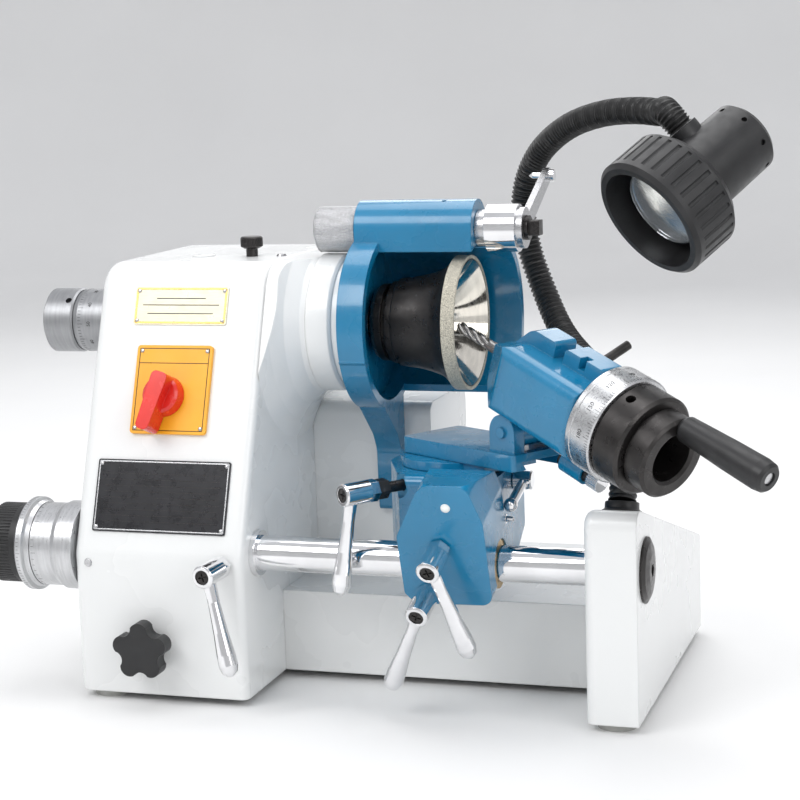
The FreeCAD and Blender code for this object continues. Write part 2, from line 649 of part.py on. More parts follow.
COLLAR_RADIUS = 17.5
COLLAR_X = (78.0, 101.0)
DRESSER_LEFT = GUARD_LEFT + 1.0
DRESSER_RIGHT = 70.0
SKIRT = [(-59, 243, 0), (-39.4, 223, 30), (-5, 193, 60), (13, 177, 20), (20.5, 164, 14), (22, 116, 4),
         (CASE_FRONT, 116, 0), (CASE_FRONT, 250, 0), (0, 262, 0), (-40, 262, 0)]


def wheel_guard():
    """Blue casting: left band and plate, rear hood, skirt, and the dresser barrel on top."""
    band = x_rod(GUARD_RADIUS, GUARD_LEFT, GUARD_BAND_RIGHT, SPINDLE_Y, SPINDLE_Z)
    skirt = yz_prism(SKIRT, GUARD_LEFT, GUARD_BAND_RIGHT)
    hood = ring_sector(GUARD_RADIUS, GUARD_INNER, GUARD_BAND_RIGHT - 1, GUARD_RIM_X, -62, 104)
    half = DRESSER_BARREL_RADIUS
    block = yz_prism([(SPINDLE_Y - half, DRESSER_Z - 30, 2), (SPINDLE_Y - half, DRESSER_Z, 0),
                      (SPINDLE_Y + half, DRESSER_Z, 0), (SPINDLE_Y + half, DRESSER_Z - 30, 2)],
                     DRESSER_LEFT, DRESSER_RIGHT)
    barrel = x_rod(half, DRESSER_LEFT, DRESSER_RIGHT, SPINDLE_Y, DRESSER_Z)
    casting = joined([band, skirt, hood, block, barrel])
    oil_hole = rod(1.8, Vector(46, SPINDLE_Y - 6, DRESSER_Z), Vector(46, SPINDLE_Y - 6, DRESSER_Z + 40))
    cavity = x_rod(GUARD_INNER, GUARD_LEFT + GUARD_WALL, GUARD_RIM_X + 1, SPINDLE_Y, SPINDLE_Z)
    bores = [cavity,
             x_rod(SPINDLE_RADIUS + 3, GUARD_LEFT - 1, 0, SPINDLE_Y, SPINDLE_Z),
             x_rod(DRESSER_SHAFT_RADIUS + RUNNING, DRESSER_LEFT - 1, DRESSER_RIGHT + 1, SPINDLE_Y, DRESSER_Z),
             x_rod(COLLAR_RADIUS + 1.5, DRESSER_RIGHT, GUARD_RIM_X + 1, SPINDLE_Y, DRESSER_Z),
             oil_hole]
    return casting.cut(bores).removeSplitter()


def motor():
    """Motor body with end bells, cooling ribs and its foot on the bed."""
    left = -140.0
    right = CASE_RIGHT - 12.0
    body = turned([(left, 0), (left, 30), (left + 8, MOTOR_RADIUS), (right - 8, MOTOR_RADIUS), (right, 30), (right, 0)],
                  Vector(0, MOTOR_Y, MOTOR_Z), X_AXIS)
    foot = box((-58, -8), (MOTOR_Y - 24, MOTOR_Y + 24), (BED_HEIGHT, MOTOR_Z - 20))
    return joined([body, foot]).cut(x_rod(7 + RUNNING, left - 1, -80, MOTOR_Y, MOTOR_Z))


def motor_pulley():
    """Motor shaft with the driving pulley."""
    shaft = x_rod(7, PULLEY_LEFT, -81, MOTOR_Y, MOTOR_Z)
    return group([shaft, pulley_ring(MOTOR_PULLEY_RADIUS, 7, MOTOR_Y, MOTOR_Z)])


def belt_loop(extra, x_start, x_end):
    """Solid outline of a belt running round both pulleys."""
    top = x_rod(PULLEY_RADIUS + extra, x_start, x_end, SPINDLE_Y, SPINDLE_Z)
    bottom = x_rod(MOTOR_PULLEY_RADIUS + extra, x_start, x_end, MOTOR_Y, MOTOR_Z)
    run = Vector(0, MOTOR_Y - SPINDLE_Y, MOTOR_Z - SPINDLE_Z)
    length = run.Length
    lean = math.asin((PULLEY_RADIUS - MOTOR_PULLEY_RADIUS) / length)
    along = run.normalize()
    across = Vector(0, -along.z, along.y)
    corners = []
    for side in (1, -1):
        normal = along * math.sin(lean) + across * (side * math.cos(lean))
        pair = [Vector(0, SPINDLE_Y, SPINDLE_Z) + normal * (PULLEY_RADIUS + extra),
                Vector(0, MOTOR_Y, MOTOR_Z) + normal * (MOTOR_PULLEY_RADIUS + extra)]
        corners += pair if side == 1 else pair[::-1]
    points = [Vector(x_start, corner.y, corner.z) for corner in corners]
    web = Part.Face(Part.makePolygon(points + points[:1])).extrude(Vector(x_end - x_start, 0, 0))
    return joined([top, bottom, web])


def drive_belt():
    x_start = PULLEY_LEFT + 3.5
    x_end = PULLEY_LEFT + PULLEY_WIDTH - 3.5
    return belt_loop(GAP + 2.2, x_start, x_end).cut(belt_loop(GAP, x_start - 1, x_end + 1))


# Guide bar and feed --------------------------------------------------------------------------------
BAR_LEFT = LEFT + 38.0
BAR_RIGHT = RIGHT - 22.0
COLLAR_PROUD = 4.0


def guide_bar():
    """Chromed bar with a threaded tail driven by the feed screw."""
    bar = x_rod(BAR_RADIUS, BAR_LEFT, BAR_RIGHT, BAR_Y, BAR_Z)
    return bar.cut(x_rod(6.0 + GAP, BAR_LEFT - 1, BAR_LEFT + 30, BAR_Y, BAR_Z))


def bar_bushes():
    left = x_tube(BUSH_RADIUS, BAR_RADIUS + RUNNING, COLUMN_RIGHT - 30, COLUMN_RIGHT + COLLAR_PROUD, BAR_Y, BAR_Z)
    right = x_tube(BUSH_RADIUS, BAR_RADIUS + RUNNING, UPRIGHT_LEFT, RIGHT - 10, BAR_Y, BAR_Z)
    return group([left, right])


FEED_BARREL_LEFT = LEFT - 40.0
FEED_FLANGE_LEFT = LEFT - 46.0
FEED_KNOB_LEFT = LEFT - 72.6


def feed_barrel():
    """Fixed aluminium barrel behind the feed dial."""
    profile = [(0, 8), (0, 33), (-14, 33), (-18, 31), (FEED_BARREL_LEFT - LEFT + GAP + 5, 31), (FEED_BARREL_LEFT - LEFT + GAP + 5, 8)]
    spigot = x_tube(FEED_HOLE_RADIUS, 8, LEFT - 1, LEFT + 20, BAR_Y, BAR_Z)
    return joined([turned(profile, Vector(LEFT, BAR_Y, BAR_Z), X_AXIS), spigot])


def feed_dial():
    """Aluminium dial with its flange and the feed screw."""
    profile = [(FEED_FLANGE_LEFT, 0), (FEED_FLANGE_LEFT, 33.5), (FEED_FLANGE_LEFT + 1.5, 35),
               (FEED_FLANGE_LEFT + 6, 35), (FEED_FLANGE_LEFT + 7.5, 32.5), (FEED_BARREL_LEFT + 5, 31.5), (FEED_BARREL_LEFT + 5, 0)]
    dial = turned(profile, Vector(0, BAR_Y, BAR_Z), X_AXIS)
    screw = x_rod(6, FEED_FLANGE_LEFT, BAR_LEFT + 20, BAR_Y, BAR_Z)
    return joined([dial, screw])


def feed_knob():
    """Black ribbed hand knob."""
    ribbed = knurled(30.0, FEED_KNOB_LEFT + 2, FEED_FLANGE_LEFT - 7, BAR_Y, BAR_Z, 72, 0.7)
    face = turned([(FEED_KNOB_LEFT, 0), (FEED_KNOB_LEFT, 27.5), (FEED_KNOB_LEFT + 2, 29.3), (FEED_KNOB_LEFT + 2, 0)],
                  Vector(0, BAR_Y, BAR_Z), X_AXIS)
    back = turned([(FEED_FLANGE_LEFT - 7, 0), (FEED_FLANGE_LEFT - 7, 30), (FEED_FLANGE_LEFT - 1, 29.5),
                   (FEED_FLANGE_LEFT, 28.5), (FEED_FLANGE_LEFT, 0)], Vector(0, BAR_Y, BAR_Z), X_AXIS)
    return joined([ribbed, face, back])


QUILL_KNOB_LEFT = LEFT - 70.0
QUILL_SEAM = LEFT - 44.0


def quill_sleeve():
    """Fixed graduated sleeve of the spindle feed."""
    profile = [(QUILL_SEAM + GAP, 7), (QUILL_SEAM + GAP, 23.5), (QUILL_SEAM + 4, 24.5), (LEFT - 3, 24.5), (LEFT, 26), (LEFT, 7)]
    sleeve = turned(profile, Vector(0, SPINDLE_Y, SPINDLE_Z), X_AXIS)
    spigot = x_tube(QUILL_HOLE_RADIUS, 7, LEFT - 1, LEFT + WALL + 4, SPINDLE_Y, SPINDLE_Z)
    return joined([sleeve, spigot])


def quill_knob():
    """Grey hand knob of the spindle feed, with its screw and a small set-screw hole."""
    profile = [(QUILL_KNOB_LEFT, 0), (QUILL_KNOB_LEFT, 22), (QUILL_KNOB_LEFT + 2, 25), (QUILL_SEAM - 1.5, 25),
               (QUILL_SEAM, 24), (QUILL_SEAM, 0)]
    knob = turned(profile, Vector(0, SPINDLE_Y, SPINDLE_Z), X_AXIS)
    screw = x_rod(6, QUILL_SEAM - 2, LEFT + 18, SPINDLE_Y, SPINDLE_Z)
    dimple = rod(2.5, Vector(QUILL_SEAM - 5, SPINDLE_Y - 18, SPINDLE_Z + 18), Vector(QUILL_SEAM - 5, SPINDLE_Y - 12, SPINDLE_Z + 12))
    return joined([knob, screw]).cut(dimple)


# Clamp levers -----------------------------------------------------------------------------------------
def clamp_lever(stud, hub_start):
    """Lever in its own frame: stud along X from 0, hub beyond hub_start, handle along Z."""
    hub_end = hub_start + LEVER_HUB_LENGTH
    radius = LEVER_HUB_RADIUS
    stem = rod(LEVER_STUD_RADIUS, Vector(-stud, 0, 0), Vector(hub_start + 2, 0, 0))
    hex_foot = hex_prism(2 * radius - 2.2, hub_start, hub_start + 9, TO_YZ)
    hub = turned([(hub_start + 7, 0), (hub_start + 7, radius), (hub_end - 1, radius), (hub_end, radius - 1), (hub_end, 0)],
                 ORIGIN, X_AXIS)
    lean = Vector(math.sin(math.radians(LEVER_SPREAD)), 0, math.cos(math.radians(LEVER_SPREAD)))
    handle = turned([(0, 0), (0, 5.2), (20, 4.4), (42, 5.4), (58, 6.8), (66, 7.0), (71, 5.6), (LEVER_REACH, 2.0), (LEVER_REACH, 0)],
                    Vector(hub_end - 8, 0, 0), lean)
    recess = rod(5.4, Vector(hub_end - 3, 0, 0), Vector(hub_end + 1, 0, 0))
    body = joined([stem, hex_foot, hub, handle]).cut(recess)
    screw = rod(5.0, Vector(hub_end - 3, 0, 0), Vector(hub_end - 0.8, 0, 0))
    cross = Part.makeCompound([box((hub_end - 2.2, hub_end), (-3.4, 3.4), (-0.6, 0.6)),
                               box((hub_end - 2.2, hub_end), (-0.6, 0.6), (-3.4, 3.4))])
    return group([body, screw.cut(cross)])


def lever_frame(root, axis, handle):
    """Frame with X along the stud's outward axis and Z near the handle direction."""
    return Placement(root, Rotation(axis, Vector(), handle, "XZY"))


LEVER_STUD = 10.0
LOCK_AXIS = Vector(-0.12, -1, -0.05).normalize()
LOCK_ROOT = Vector(LOCK_X, FRONT - 0.6, LOCK_Z)
LOCK_HANDLE = Vector(0.24, 0, -0.97)
UPPER_ROOT = LEAN_FRAME.multVec(Vector(75.5, -31, 30))
LOWER_ROOT = LEAN_FRAME.multVec(Vector(63.0, -31, -6))
FRONT_AXIS = LEAN_FRAME.Rotation.multVec(Vector(-0.06, -1, -0.1)).normalize()
UPPER_HANDLE = LEAN_FRAME.Rotation.multVec(Vector(22, 0, -74))
LOWER_HANDLE = LEAN_FRAME.Rotation.multVec(Vector(-33.5, 0, -75))
SIDE_ROOT = Vector(33.5, -85.4, 160.0)
SIDE_AXIS = Vector(-0.6, -0.8, 0)
SIDE_HANDLE = Vector(-0.1, 0.05, -1)
SIDE_COLLAR = 16.0
REAR_ROOT = Vector(BRACKET_RIGHT - 4, -42.0, 157.0)
REAR_HANDLE = Vector(0, -0.95, -0.22)


def stud_hole(root, axis, depth):
    """Clearance hole for a lever's stud."""
    return rod(LEVER_STUD_RADIUS + GAP, root - axis * depth, root + axis)


def lock_hole():
    return stud_hole(LOCK_ROOT, LOCK_AXIS, LEVER_STUD + 2)


def bar_lock_lever():
    return placed(clamp_lever(LEVER_STUD, 1.0), lever_frame(LOCK_ROOT, LOCK_AXIS, LOCK_HANDLE))


def upper_clamp_lever():
    return placed(clamp_lever(LEVER_STUD, 1.0), lever_frame(UPPER_ROOT, FRONT_AXIS, UPPER_HANDLE))


def lower_clamp_lever():
    return placed(clamp_lever(LEVER_STUD, 1.0), lever_frame(LOWER_ROOT, FRONT_AXIS, LOWER_HANDLE))


def side_clamp_lever():
    """Left clamp lever with its long black stud and hexagon collar."""
    lever = placed(clamp_lever(LEVER_STUD, SIDE_COLLAR + 8), lever_frame(SIDE_ROOT, SIDE_AXIS, SIDE_HANDLE))
    collar = hex_prism(13, SIDE_COLLAR - 1, SIDE_COLLAR + 7.9, TO_YZ)
    collar = collar.cut(rod(LEVER_STUD_RADIUS, Vector(SIDE_COLLAR - 2, 0, 0), Vector(SIDE_COLLAR + 9, 0, 0)))
    collar = placed(collar, lever_frame(SIDE_ROOT, SIDE_AXIS, SIDE_HANDLE))
    return group(lever.Solids + [collar])


def rear_clamp_lever():
    """Small lever on the bracket's right side."""
    hub = turned([(0.5, 0), (0.5, 7), (13, 7), (14, 6), (14, 0)], REAR_ROOT, X_AXIS)
    stem = rod(LEVER_STUD_RADIUS, REAR_ROOT - X_AXIS * LEVER_STUD, REAR_ROOT + X_AXIS * 2)
    start = REAR_ROOT + X_AXIS * 8
    tip = start + REAR_HANDLE.normalize() * 42
    handle = rod(3.6, start, tip)
    ball = Part.makeSphere(5.0, tip)
    return joined([hub, stem, handle, ball])


# Carriage bracket, swivel and slide --------------------------------------------------------------------
KNEE_LEFT = 10.0
KNEE_RIGHT = 104.0
KNEE_BACK = 6.0
KNEE_BOTTOM = 100.0
PLATE_TOP = KNEE_TOP + 6.5
SWIVEL_PIN_RADIUS = 12.0


def carriage_bracket():
    """Blue casting: front plate round the bar, and the knee that carries the swivel."""
    plate = xz_prism([(BRACKET_LEFT, -8, 4), (BRACKET_LEFT, 38, 8), (66, 79, 14), (99, 79, 10), (BRACKET_RIGHT, 50, 8),
                      (BRACKET_RIGHT, -15, 8), (52, -16, 4)], -31, 22)
    plate = placed(plate, LEAN_FRAME).cut(box((0, 200), (-200, 0), (PLATE_TOP, PLATE_TOP + 60)))
    knee_side = [(BAR_Y + 8, KNEE_BOTTOM, 0), (BAR_Y + 8, 146, 0), (BAR_Y + 2, KNEE_TOP, 6), (KNEE_BACK, KNEE_TOP, 4),
                 (KNEE_BACK, KNEE_BOTTOM + 30, 12), (-40, KNEE_BOTTOM, 14)]
    knee = yz_prism(knee_side, KNEE_LEFT, KNEE_RIGHT)
    plan = [(KNEE_LEFT, -40, 8), (36, BAR_Y - 2, 4), (KNEE_RIGHT, BAR_Y - 2, 0), (KNEE_RIGHT, -10, 10), (86, KNEE_BACK, 12),
            (30, KNEE_BACK, 12), (KNEE_LEFT, -14, 8)]
    knee = knee.common(prism(plan, KNEE_BOTTOM - 1, KNEE_TOP + 1))
    boss_start = SIDE_ROOT - SIDE_AXIS * 22
    boss = rod(KNEE_TOP - SIDE_ROOT.z, boss_start, SIDE_ROOT)
    casting = joined([plate, knee, boss])
    clearance = x_rod(BAR_RADIUS + 6, KNEE_LEFT - 30, BRACKET_LEFT + 2, BAR_Y, BAR_Z)
    bores = [x_rod(SLEEVE_RADIUS + RUNNING, KNEE_LEFT - 30, BRACKET_RIGHT + 5, BAR_Y, BAR_Z),
             clearance,
             rod(SWIVEL_PIN_RADIUS + RUNNING, Vector(PIVOT_X, PIVOT_Y, KNEE_TOP - 26), Vector(PIVOT_X, PIVOT_Y, KNEE_TOP + 1)),
             stud_hole(UPPER_ROOT, FRONT_AXIS, LEVER_STUD + 2),
             stud_hole(LOWER_ROOT, FRONT_AXIS, LEVER_STUD + 2),
             stud_hole(SIDE_ROOT, SIDE_AXIS, LEVER_STUD + 2),
             rod(9.0, SIDE_ROOT, SIDE_ROOT + SIDE_AXIS * 30),
             stud_hole(REAR_ROOT, X_AXIS, LEVER_STUD + 2)]
    return casting.cut(bores).removeSplitter()


def bracket_fittings():
    """White ball oiler on the front plate and the grease nipple on the right side."""
    outward = LEAN_FRAME.Rotation.multVec(Vector(0, -1, 0))
    base = LEAN_FRAME.multVec(Vector(83, -31, 62))
    oiler = turned([(0, 0), (0, 3.4), (0.8, 3.0), (1.8, 1.6), (2.2, 0)], base, outward)
    nipple = turned([(0, 0), (0, 3.4), (3, 3.4), (3, 2.2), (8, 1.6), (9, 0)], Vector(KNEE_RIGHT, -77, 136), X_AXIS)
    return group([oiler, nipple])


def bar_sleeve():
    """Bronze sleeve that slides on the bar and carries the bracket."""
    return x_tube(SLEEVE_RADIUS, BAR_RADIUS + RUNNING, BRACKET_LEFT + 1, BRACKET_RIGHT - 1, BAR_Y, BAR_Z)


TABLE_BOTTOM = KNEE_TOP + GAP
TABLE_TOP = TABLE_BOTTOM + 6.7
DOVETAIL_TOP = TABLE_TOP + 6.0
SLIDE_TOP = TABLE_TOP + 12.0
WAY_BACK = 36.0
WAY_FRONT = 56.0
SLIDE_BACK = 30.0
SLIDE_FRONT = 88.0
TILT_PIN_E = TIP_REACH + TILT_PIN_S * math.cos(math.radians(HEAD_TILT)) + TILT_PIN_V * math.sin(math.radians(HEAD_TILT))
TILT_PIN_Z = TIP_Z - TILT_PIN_S * math.sin(math.radians(HEAD_TILT)) + TILT_PIN_V * math.cos(math.radians(HEAD_TILT))
CHEEK_RADIUS = 12.5
LUG_HALF = 13.5


def dovetail(spread, start, end, bottom, top):
    """Dovetail bar along the slide direction, wider at the top."""
    outline = [(-14 - spread, bottom, 0), (-18.5 - spread, top, 0), (18.5 + spread, top, 0), (14 + spread, bottom, 0)]
    return yz_prism(outline, start, end)


def swivel_table():
    """Graduated round table with its pin below and the dovetail way on top."""
    disc = Part.makeCylinder(TABLE_RADIUS, TABLE_TOP - TABLE_BOTTOM, Vector(0, 0, TABLE_BOTTOM))
    pin = Part.makeCylinder(SWIVEL_PIN_RADIUS, 24, Vector(0, 0, TABLE_BOTTOM - 24))
    bar = box((-WAY_BACK, WAY_FRONT), (-25, 25), (TABLE_TOP - 5, TABLE_TOP))
    ridge = dovetail(0, -WAY_BACK, WAY_FRONT, TABLE_TOP - 0.5, DOVETAIL_TOP)
    return placed(joined([disc, pin, bar, ridge]), SWIVEL_FRAME)


def cross_slide():
    """Slide on the dovetail, with the two cheeks and the pin that carry the work head."""
    block = prism([(-SLIDE_BACK, -28, 4), (SLIDE_FRONT, -28, 4), (SLIDE_FRONT, 28, 4), (-SLIDE_BACK, 28, 4)],
                  TABLE_TOP + GAP, SLIDE_TOP)
    groove = dovetail(GAP, -40, 110, TABLE_TOP - 1, DOVETAIL_TOP + GAP)
    block = block.cut(groove)
    cheeks = []
    for side in (1, -1):
        inner = side * (LUG_HALF + GAP)
        outer = side * (LUG_HALF + 10)
        low, high = sorted((inner, outer))
        web = box((TILT_PIN_E - CHEEK_RADIUS, TILT_PIN_E + CHEEK_RADIUS), (low, high), (SLIDE_TOP - 1, TILT_PIN_Z))
        eye = rod(CHEEK_RADIUS, Vector(TILT_PIN_E, low, TILT_PIN_Z), Vector(TILT_PIN_E, high, TILT_PIN_Z))
        cheeks += [web, eye]
    body = joined([block] + cheeks)
    hole = rod(TILT_PIN_RADIUS, Vector(TILT_PIN_E, -40, TILT_PIN_Z), Vector(TILT_PIN_E, 40, TILT_PIN_Z))
    body = body.cut(hole)
    pin = rod(TILT_PIN_RADIUS, Vector(TILT_PIN_E, -LUG_HALF - 12, TILT_PIN_Z), Vector(TILT_PIN_E, LUG_HALF + 12, TILT_PIN_Z))
    return placed(group([body, pin]), SWIVEL_FRAME)


# Work head ---------------------------------------------------------------------------------------------
PLUNGER_V = -45.5
PLUNGER_RADIUS = 5.0
PAWL_S = 131.0
PAWL_AXIS = Vector(0, math.cos(math.radians(25)), math.sin(math.radians(25)))
PAWL_BASE = Vector(PAWL_S, 4.0, 27.0)
GRIP_OFFSET = Vector(0, 3.0, 22.5)
GRIP_LENGTH = 74.0


def index_head():
    """Blue head casting: tapered nose, raised spine, tilt lug and plunger boss."""
    plan = prism([(HEAD_FRONT, -15, 5), (78, -HEAD_HALF_WIDTH, 12), (HEAD_REAR, -HEAD_HALF_WIDTH, 5),
                  (HEAD_REAR, HEAD_HALF_WIDTH, 5), (78, HEAD_HALF_WIDTH, 12), (HEAD_FRONT, 15, 5)],
                 -HEAD_BELOW, HEAD_ABOVE + 1)
    side = xz_prism([(HEAD_FRONT, -15, 4), (HEAD_FRONT, 11, 4), (80, HEAD_ABOVE, 14), (HEAD_REAR, HEAD_ABOVE, 2),
                     (HEAD_REAR, -HEAD_BELOW, 2), (74, -HEAD_BELOW, 10)], -50, 50)
    end = yz_prism([(-HEAD_HALF_WIDTH, -HEAD_BELOW, 7), (-HEAD_HALF_WIDTH, HEAD_ABOVE, 9),
                    (HEAD_HALF_WIDTH, HEAD_ABOVE, 9), (HEAD_HALF_WIDTH, -HEAD_BELOW, 7)], HEAD_FRONT - 1, HEAD_REAR + 1)
    body = plan.common(side).common(end)
    hump = xz_prism([(66, 18, 0), (80, 34, 12), (104, 34, 3), (104, 18, 0)], -10, 10)
    rear_block = xz_prism([(113, 18, 0), (113, 34, 3), (150, 34, 3), (150, 18, 0)], -10, 10)
    lug = rod(CHEEK_RADIUS - 0.5, Vector(TILT_PIN_S, -LUG_HALF, TILT_PIN_V), Vector(TILT_PIN_S, LUG_HALF, TILT_PIN_V))
    web = box((TILT_PIN_S - 11, TILT_PIN_S + 11), (-LUG_HALF, LUG_HALF), (TILT_PIN_V, -HEAD_BELOW + 1))
    holder = rod(PLUNGER_RADIUS + 2.5, Vector(128, 0, PLUNGER_V), Vector(149, 0, PLUNGER_V))
    holder_web = box((128, 149), (-6, 6), (PLUNGER_V, -HEAD_BELOW + 1))
    casting = joined([body, hump, rear_block, lug, web, holder, holder_web])
    bores = [x_rod(QUILL_RADIUS + RUNNING, 62, HEAD_REAR + 2, 0, 0),
             x_rod(TOOL_RADIUS + 4, HEAD_FRONT - 2, 63, 0, 0),
             rod(TILT_PIN_RADIUS + RUNNING, Vector(TILT_PIN_S, -30, TILT_PIN_V), Vector(TILT_PIN_S, 30, TILT_PIN_V)),
             x_rod(PLUNGER_RADIUS + GAP, 120, 155, 0, PLUNGER_V),
             rod(3.25 + GAP, PAWL_BASE - PAWL_AXIS * 1, PAWL_BASE + PAWL_AXIS * 12),
             box((128, 134), (-12, -3), (26, 36))]
    return placed(casting.cut(bores), HEAD_FRAME)


def index_plunger():
    """Spring plunger below the degree ring with a knurled end."""
    rod_part = x_rod(PLUNGER_RADIUS, 124, 155, 0, PLUNGER_V)
    knob = knurled(6.4, 154, 164, 0, PLUNGER_V, 24, 0.5)
    return placed(joined([rod_part, knob]), HEAD_FRAME)


def pawl_pin():
    """Slim black pin that leans out of the head's rear block."""
    return placed(rod(3.25, PAWL_BASE, PAWL_BASE + PAWL_AXIS * 30), HEAD_FRAME)


def head_quill():
    """Hollow spindle of the work head, with the steel collet that grips the tool."""
    tube = turned([(63.5, 9), (63.5, QUILL_RADIUS), (178, QUILL_RADIUS), (178, 9)], ORIGIN, X_AXIS)
    collet = turned([(66, TOOL_RADIUS), (66, 8.9), (104, 8.9), (104, TOOL_RADIUS)], ORIGIN, X_AXIS)
    return placed(group([tube, collet]), HEAD_FRAME)


RING_LEFT = HEAD_REAR + 0.8
RING_RIGHT = 176.0


def degree_ring():
    profile = [(RING_LEFT, QUILL_RADIUS), (RING_LEFT, RING_RADIUS - 1.5), (RING_LEFT + 1.5, RING_RADIUS), (157.6, RING_RADIUS),
               (158.1, RING_RADIUS - 0.6), (158.6, RING_RADIUS), (RING_RIGHT - 1, RING_RADIUS),
               (RING_RIGHT, RING_RADIUS - 1), (RING_RIGHT, QUILL_RADIUS)]
    return placed(turned(profile, ORIGIN, X_AXIS), HEAD_FRAME)


def index_nut():
    """Dark index disc and end ring with the open bore, and the crank pin on its face."""
    bore = 17.0
    profile = [(RING_RIGHT, QUILL_RADIUS), (RING_RIGHT, NUT_RADIUS - 1), (RING_RIGHT + 1, NUT_RADIUS), (197, NUT_RADIUS),
               (199, NUT_RADIUS - 2), (199, 27), (200.5, 27), (200.5, 28.5), (HEAD_END - 2, 28.5), (HEAD_END, 26.5),
               (HEAD_END, bore + 2), (HEAD_END - 2, bore), (184, bore), (184, 10), (178, 10), (178, QUILL_RADIUS)]
    body = turned(profile, ORIGIN, X_AXIS)
    tommy_hole = rod(3.4, Vector(184, -12, 22), Vector(184, -24, 44))
    crank_pin = rod(3.5, Vector(HEAD_END - 8, 0, 0) + GRIP_OFFSET, Vector(HEAD_END + GRIP_LENGTH - 6, 0, 0) + GRIP_OFFSET)
    return placed(joined([body.cut(tommy_hole), crank_pin]), HEAD_FRAME)


def crank_grip():
    """Black revolving grip, with a countersunk recess at its end."""
    start = HEAD_END + GAP
    end = HEAD_END + GRIP_LENGTH
    profile = [(start, 0), (start, 8), (start + 2, 9), (start + 40, 10.5), (end - 8, 11), (end - 2, 10.2), (end, 8.5), (end, 0)]
    grip = turned(profile, GRIP_OFFSET, X_AXIS)
    bore = rod(3.5 + GAP, Vector(start - 1, 0, 0) + GRIP_OFFSET, Vector(end - 5.5, 0, 0) + GRIP_OFFSET)
    recess = rod(4.6, Vector(end - 5.5, 0, 0) + GRIP_OFFSET, Vector(end + 1, 0, 0) + GRIP_OFFSET)
    screw = turned([(end - 5.5, 0), (end - 5.5, 4.6), (end - 1.8, 4.6), (end - 1.2, 3.8), (end - 1.2, 0)], GRIP_OFFSET, X_AXIS)
    return placed(group([grip.cut([bore, recess]), screw]), HEAD_FRAME)


def cutting_tool():
    """End mill held in the head, its tip just in front of the wheel."""
    tip = turned([(0, 0), (0, 2.6), (1.6, TOOL_RADIUS), (104, TOOL_RADIUS), (104, 0)], ORIGIN, X_AXIS)
    flutes = []
    for index in range(4):
        angle = math.radians(90 * index + 45)
        flutes.append(x_rod(1.7, -1, 32, 4.1 * math.cos(angle), 4.1 * math.sin(angle)))
    return placed(tip.cut(flutes), HEAD_FRAME)


# Dresser ------------------------------------------------------------------------------------------------
ARM_X = (101.0, 106.0)


def dresser_knob():
    """Knurled knob that feeds the dresser shaft."""
    left = DRESSER_LEFT - 34.0
    right = GUARD_LEFT - GAP
    body = knurled(17.3, left + 1.5, right, SPINDLE_Y, DRESSER_Z, 48, 0.8)
    face = turned([(left, 0), (left, 15.5), (left + 1.5, 16.8), (left + 1.5, 0)], Vector(0, SPINDLE_Y, DRESSER_Z), X_AXIS)
    return joined([body, face]).cut(x_rod(5 + GAP, left + 4, right + 1, SPINDLE_Y, DRESSER_Z))


def dresser_shaft():
    shaft = turned([(DRESSER_LEFT - 22, 0), (DRESSER_LEFT - 22, 5), (DRESSER_LEFT + 2, 5), (DRESSER_LEFT + 2, DRESSER_SHAFT_RADIUS),
                    (DRESSER_RIGHT + GAP, DRESSER_SHAFT_RADIUS), (DRESSER_RIGHT + GAP, 13.5),
                    (COLLAR_X[0] - GAP, 13.5), (COLLAR_X[0] - GAP, 6), (ARM_X[1] + 1, 6), (ARM_X[1] + 1, 0)],
                   Vector(0, SPINDLE_Y, DRESSER_Z), X_AXIS)
    return shaft


def dresser_collar():
    """Collar that swings the arm, with a square-headed screw on its end."""
    collar = x_tube(COLLAR_RADIUS, 6 + RUNNING, COLLAR_X[0], COLLAR_X[1], SPINDLE_Y, DRESSER_Z)
    head = yz_prism([(-5.5, -5.5, 1), (-5.5, 5.5, 1), (5.5, 5.5, 1), (5.5, -5.5, 1)], ARM_X[1] + 2 + GAP, ARM_X[1] + 11)
    head.translate(Vector(0, SPINDLE_Y, DRESSER_Z))
    washer = x_rod(9, ARM_X[1], ARM_X[1] + 2 + GAP + 0.5, SPINDLE_Y, DRESSER_Z)
    washer = washer.cut(x_rod(6 + GAP, ARM_X[1] - 1, ARM_X[1] + 1 + GAP, SPINDLE_Y, DRESSER_Z))
    return group([collar, joined([head, washer])])


def dresser_arm():
    """Flat arm, parked to the rear, with the diamond holder at its end."""
    thickness = ARM_X[1] - ARM_X[0]
    eye = Part.makeCylinder(15, thickness)
    strip = prism([(0, -6.5, 0), (DRESSER_ARM_LENGTH - 6, -5, 4), (DRESSER_ARM_LENGTH - 6, 5, 4), (0, 6.5, 0)], 0, thickness)
    arm = joined([eye, strip]).cut([Part.makeCylinder(6 + GAP, thickness + 2, Vector(0, 0, -1)),
                                    Part.makeCylinder(2.5, thickness + 2, Vector(DRESSER_ARM_LENGTH - 12, 0, -1))])
    frame = Placement(Vector(ARM_X[0], SPINDLE_Y, DRESSER_Z), TO_YZ.multiply(Rotation(Z_AXIS, DRESSER_ARM_REST)))
    return placed(arm, frame)


def diamond_holder():
    """Chrome screw through the arm's end that holds the dressing diamond."""
    frame = Placement(Vector(ARM_X[0], SPINDLE_Y, DRESSER_Z), TO_YZ.multiply(Rotation(Z_AXIS, DRESSER_ARM_REST)))
    place = Vector(DRESSER_ARM_LENGTH - 12, 0, 0)
    stem = Part.makeCylinder(2.5, 16, place - Z_AXIS * 8)
    head = Part.makeCylinder(4.5, 4, place + Z_AXIS * (ARM_X[1] - ARM_X[0]))
    point = Part.makeCone(0.3, 2.5, 3, place - Z_AXIS * 11)
    return placed(joined([stem, head, point]), frame)


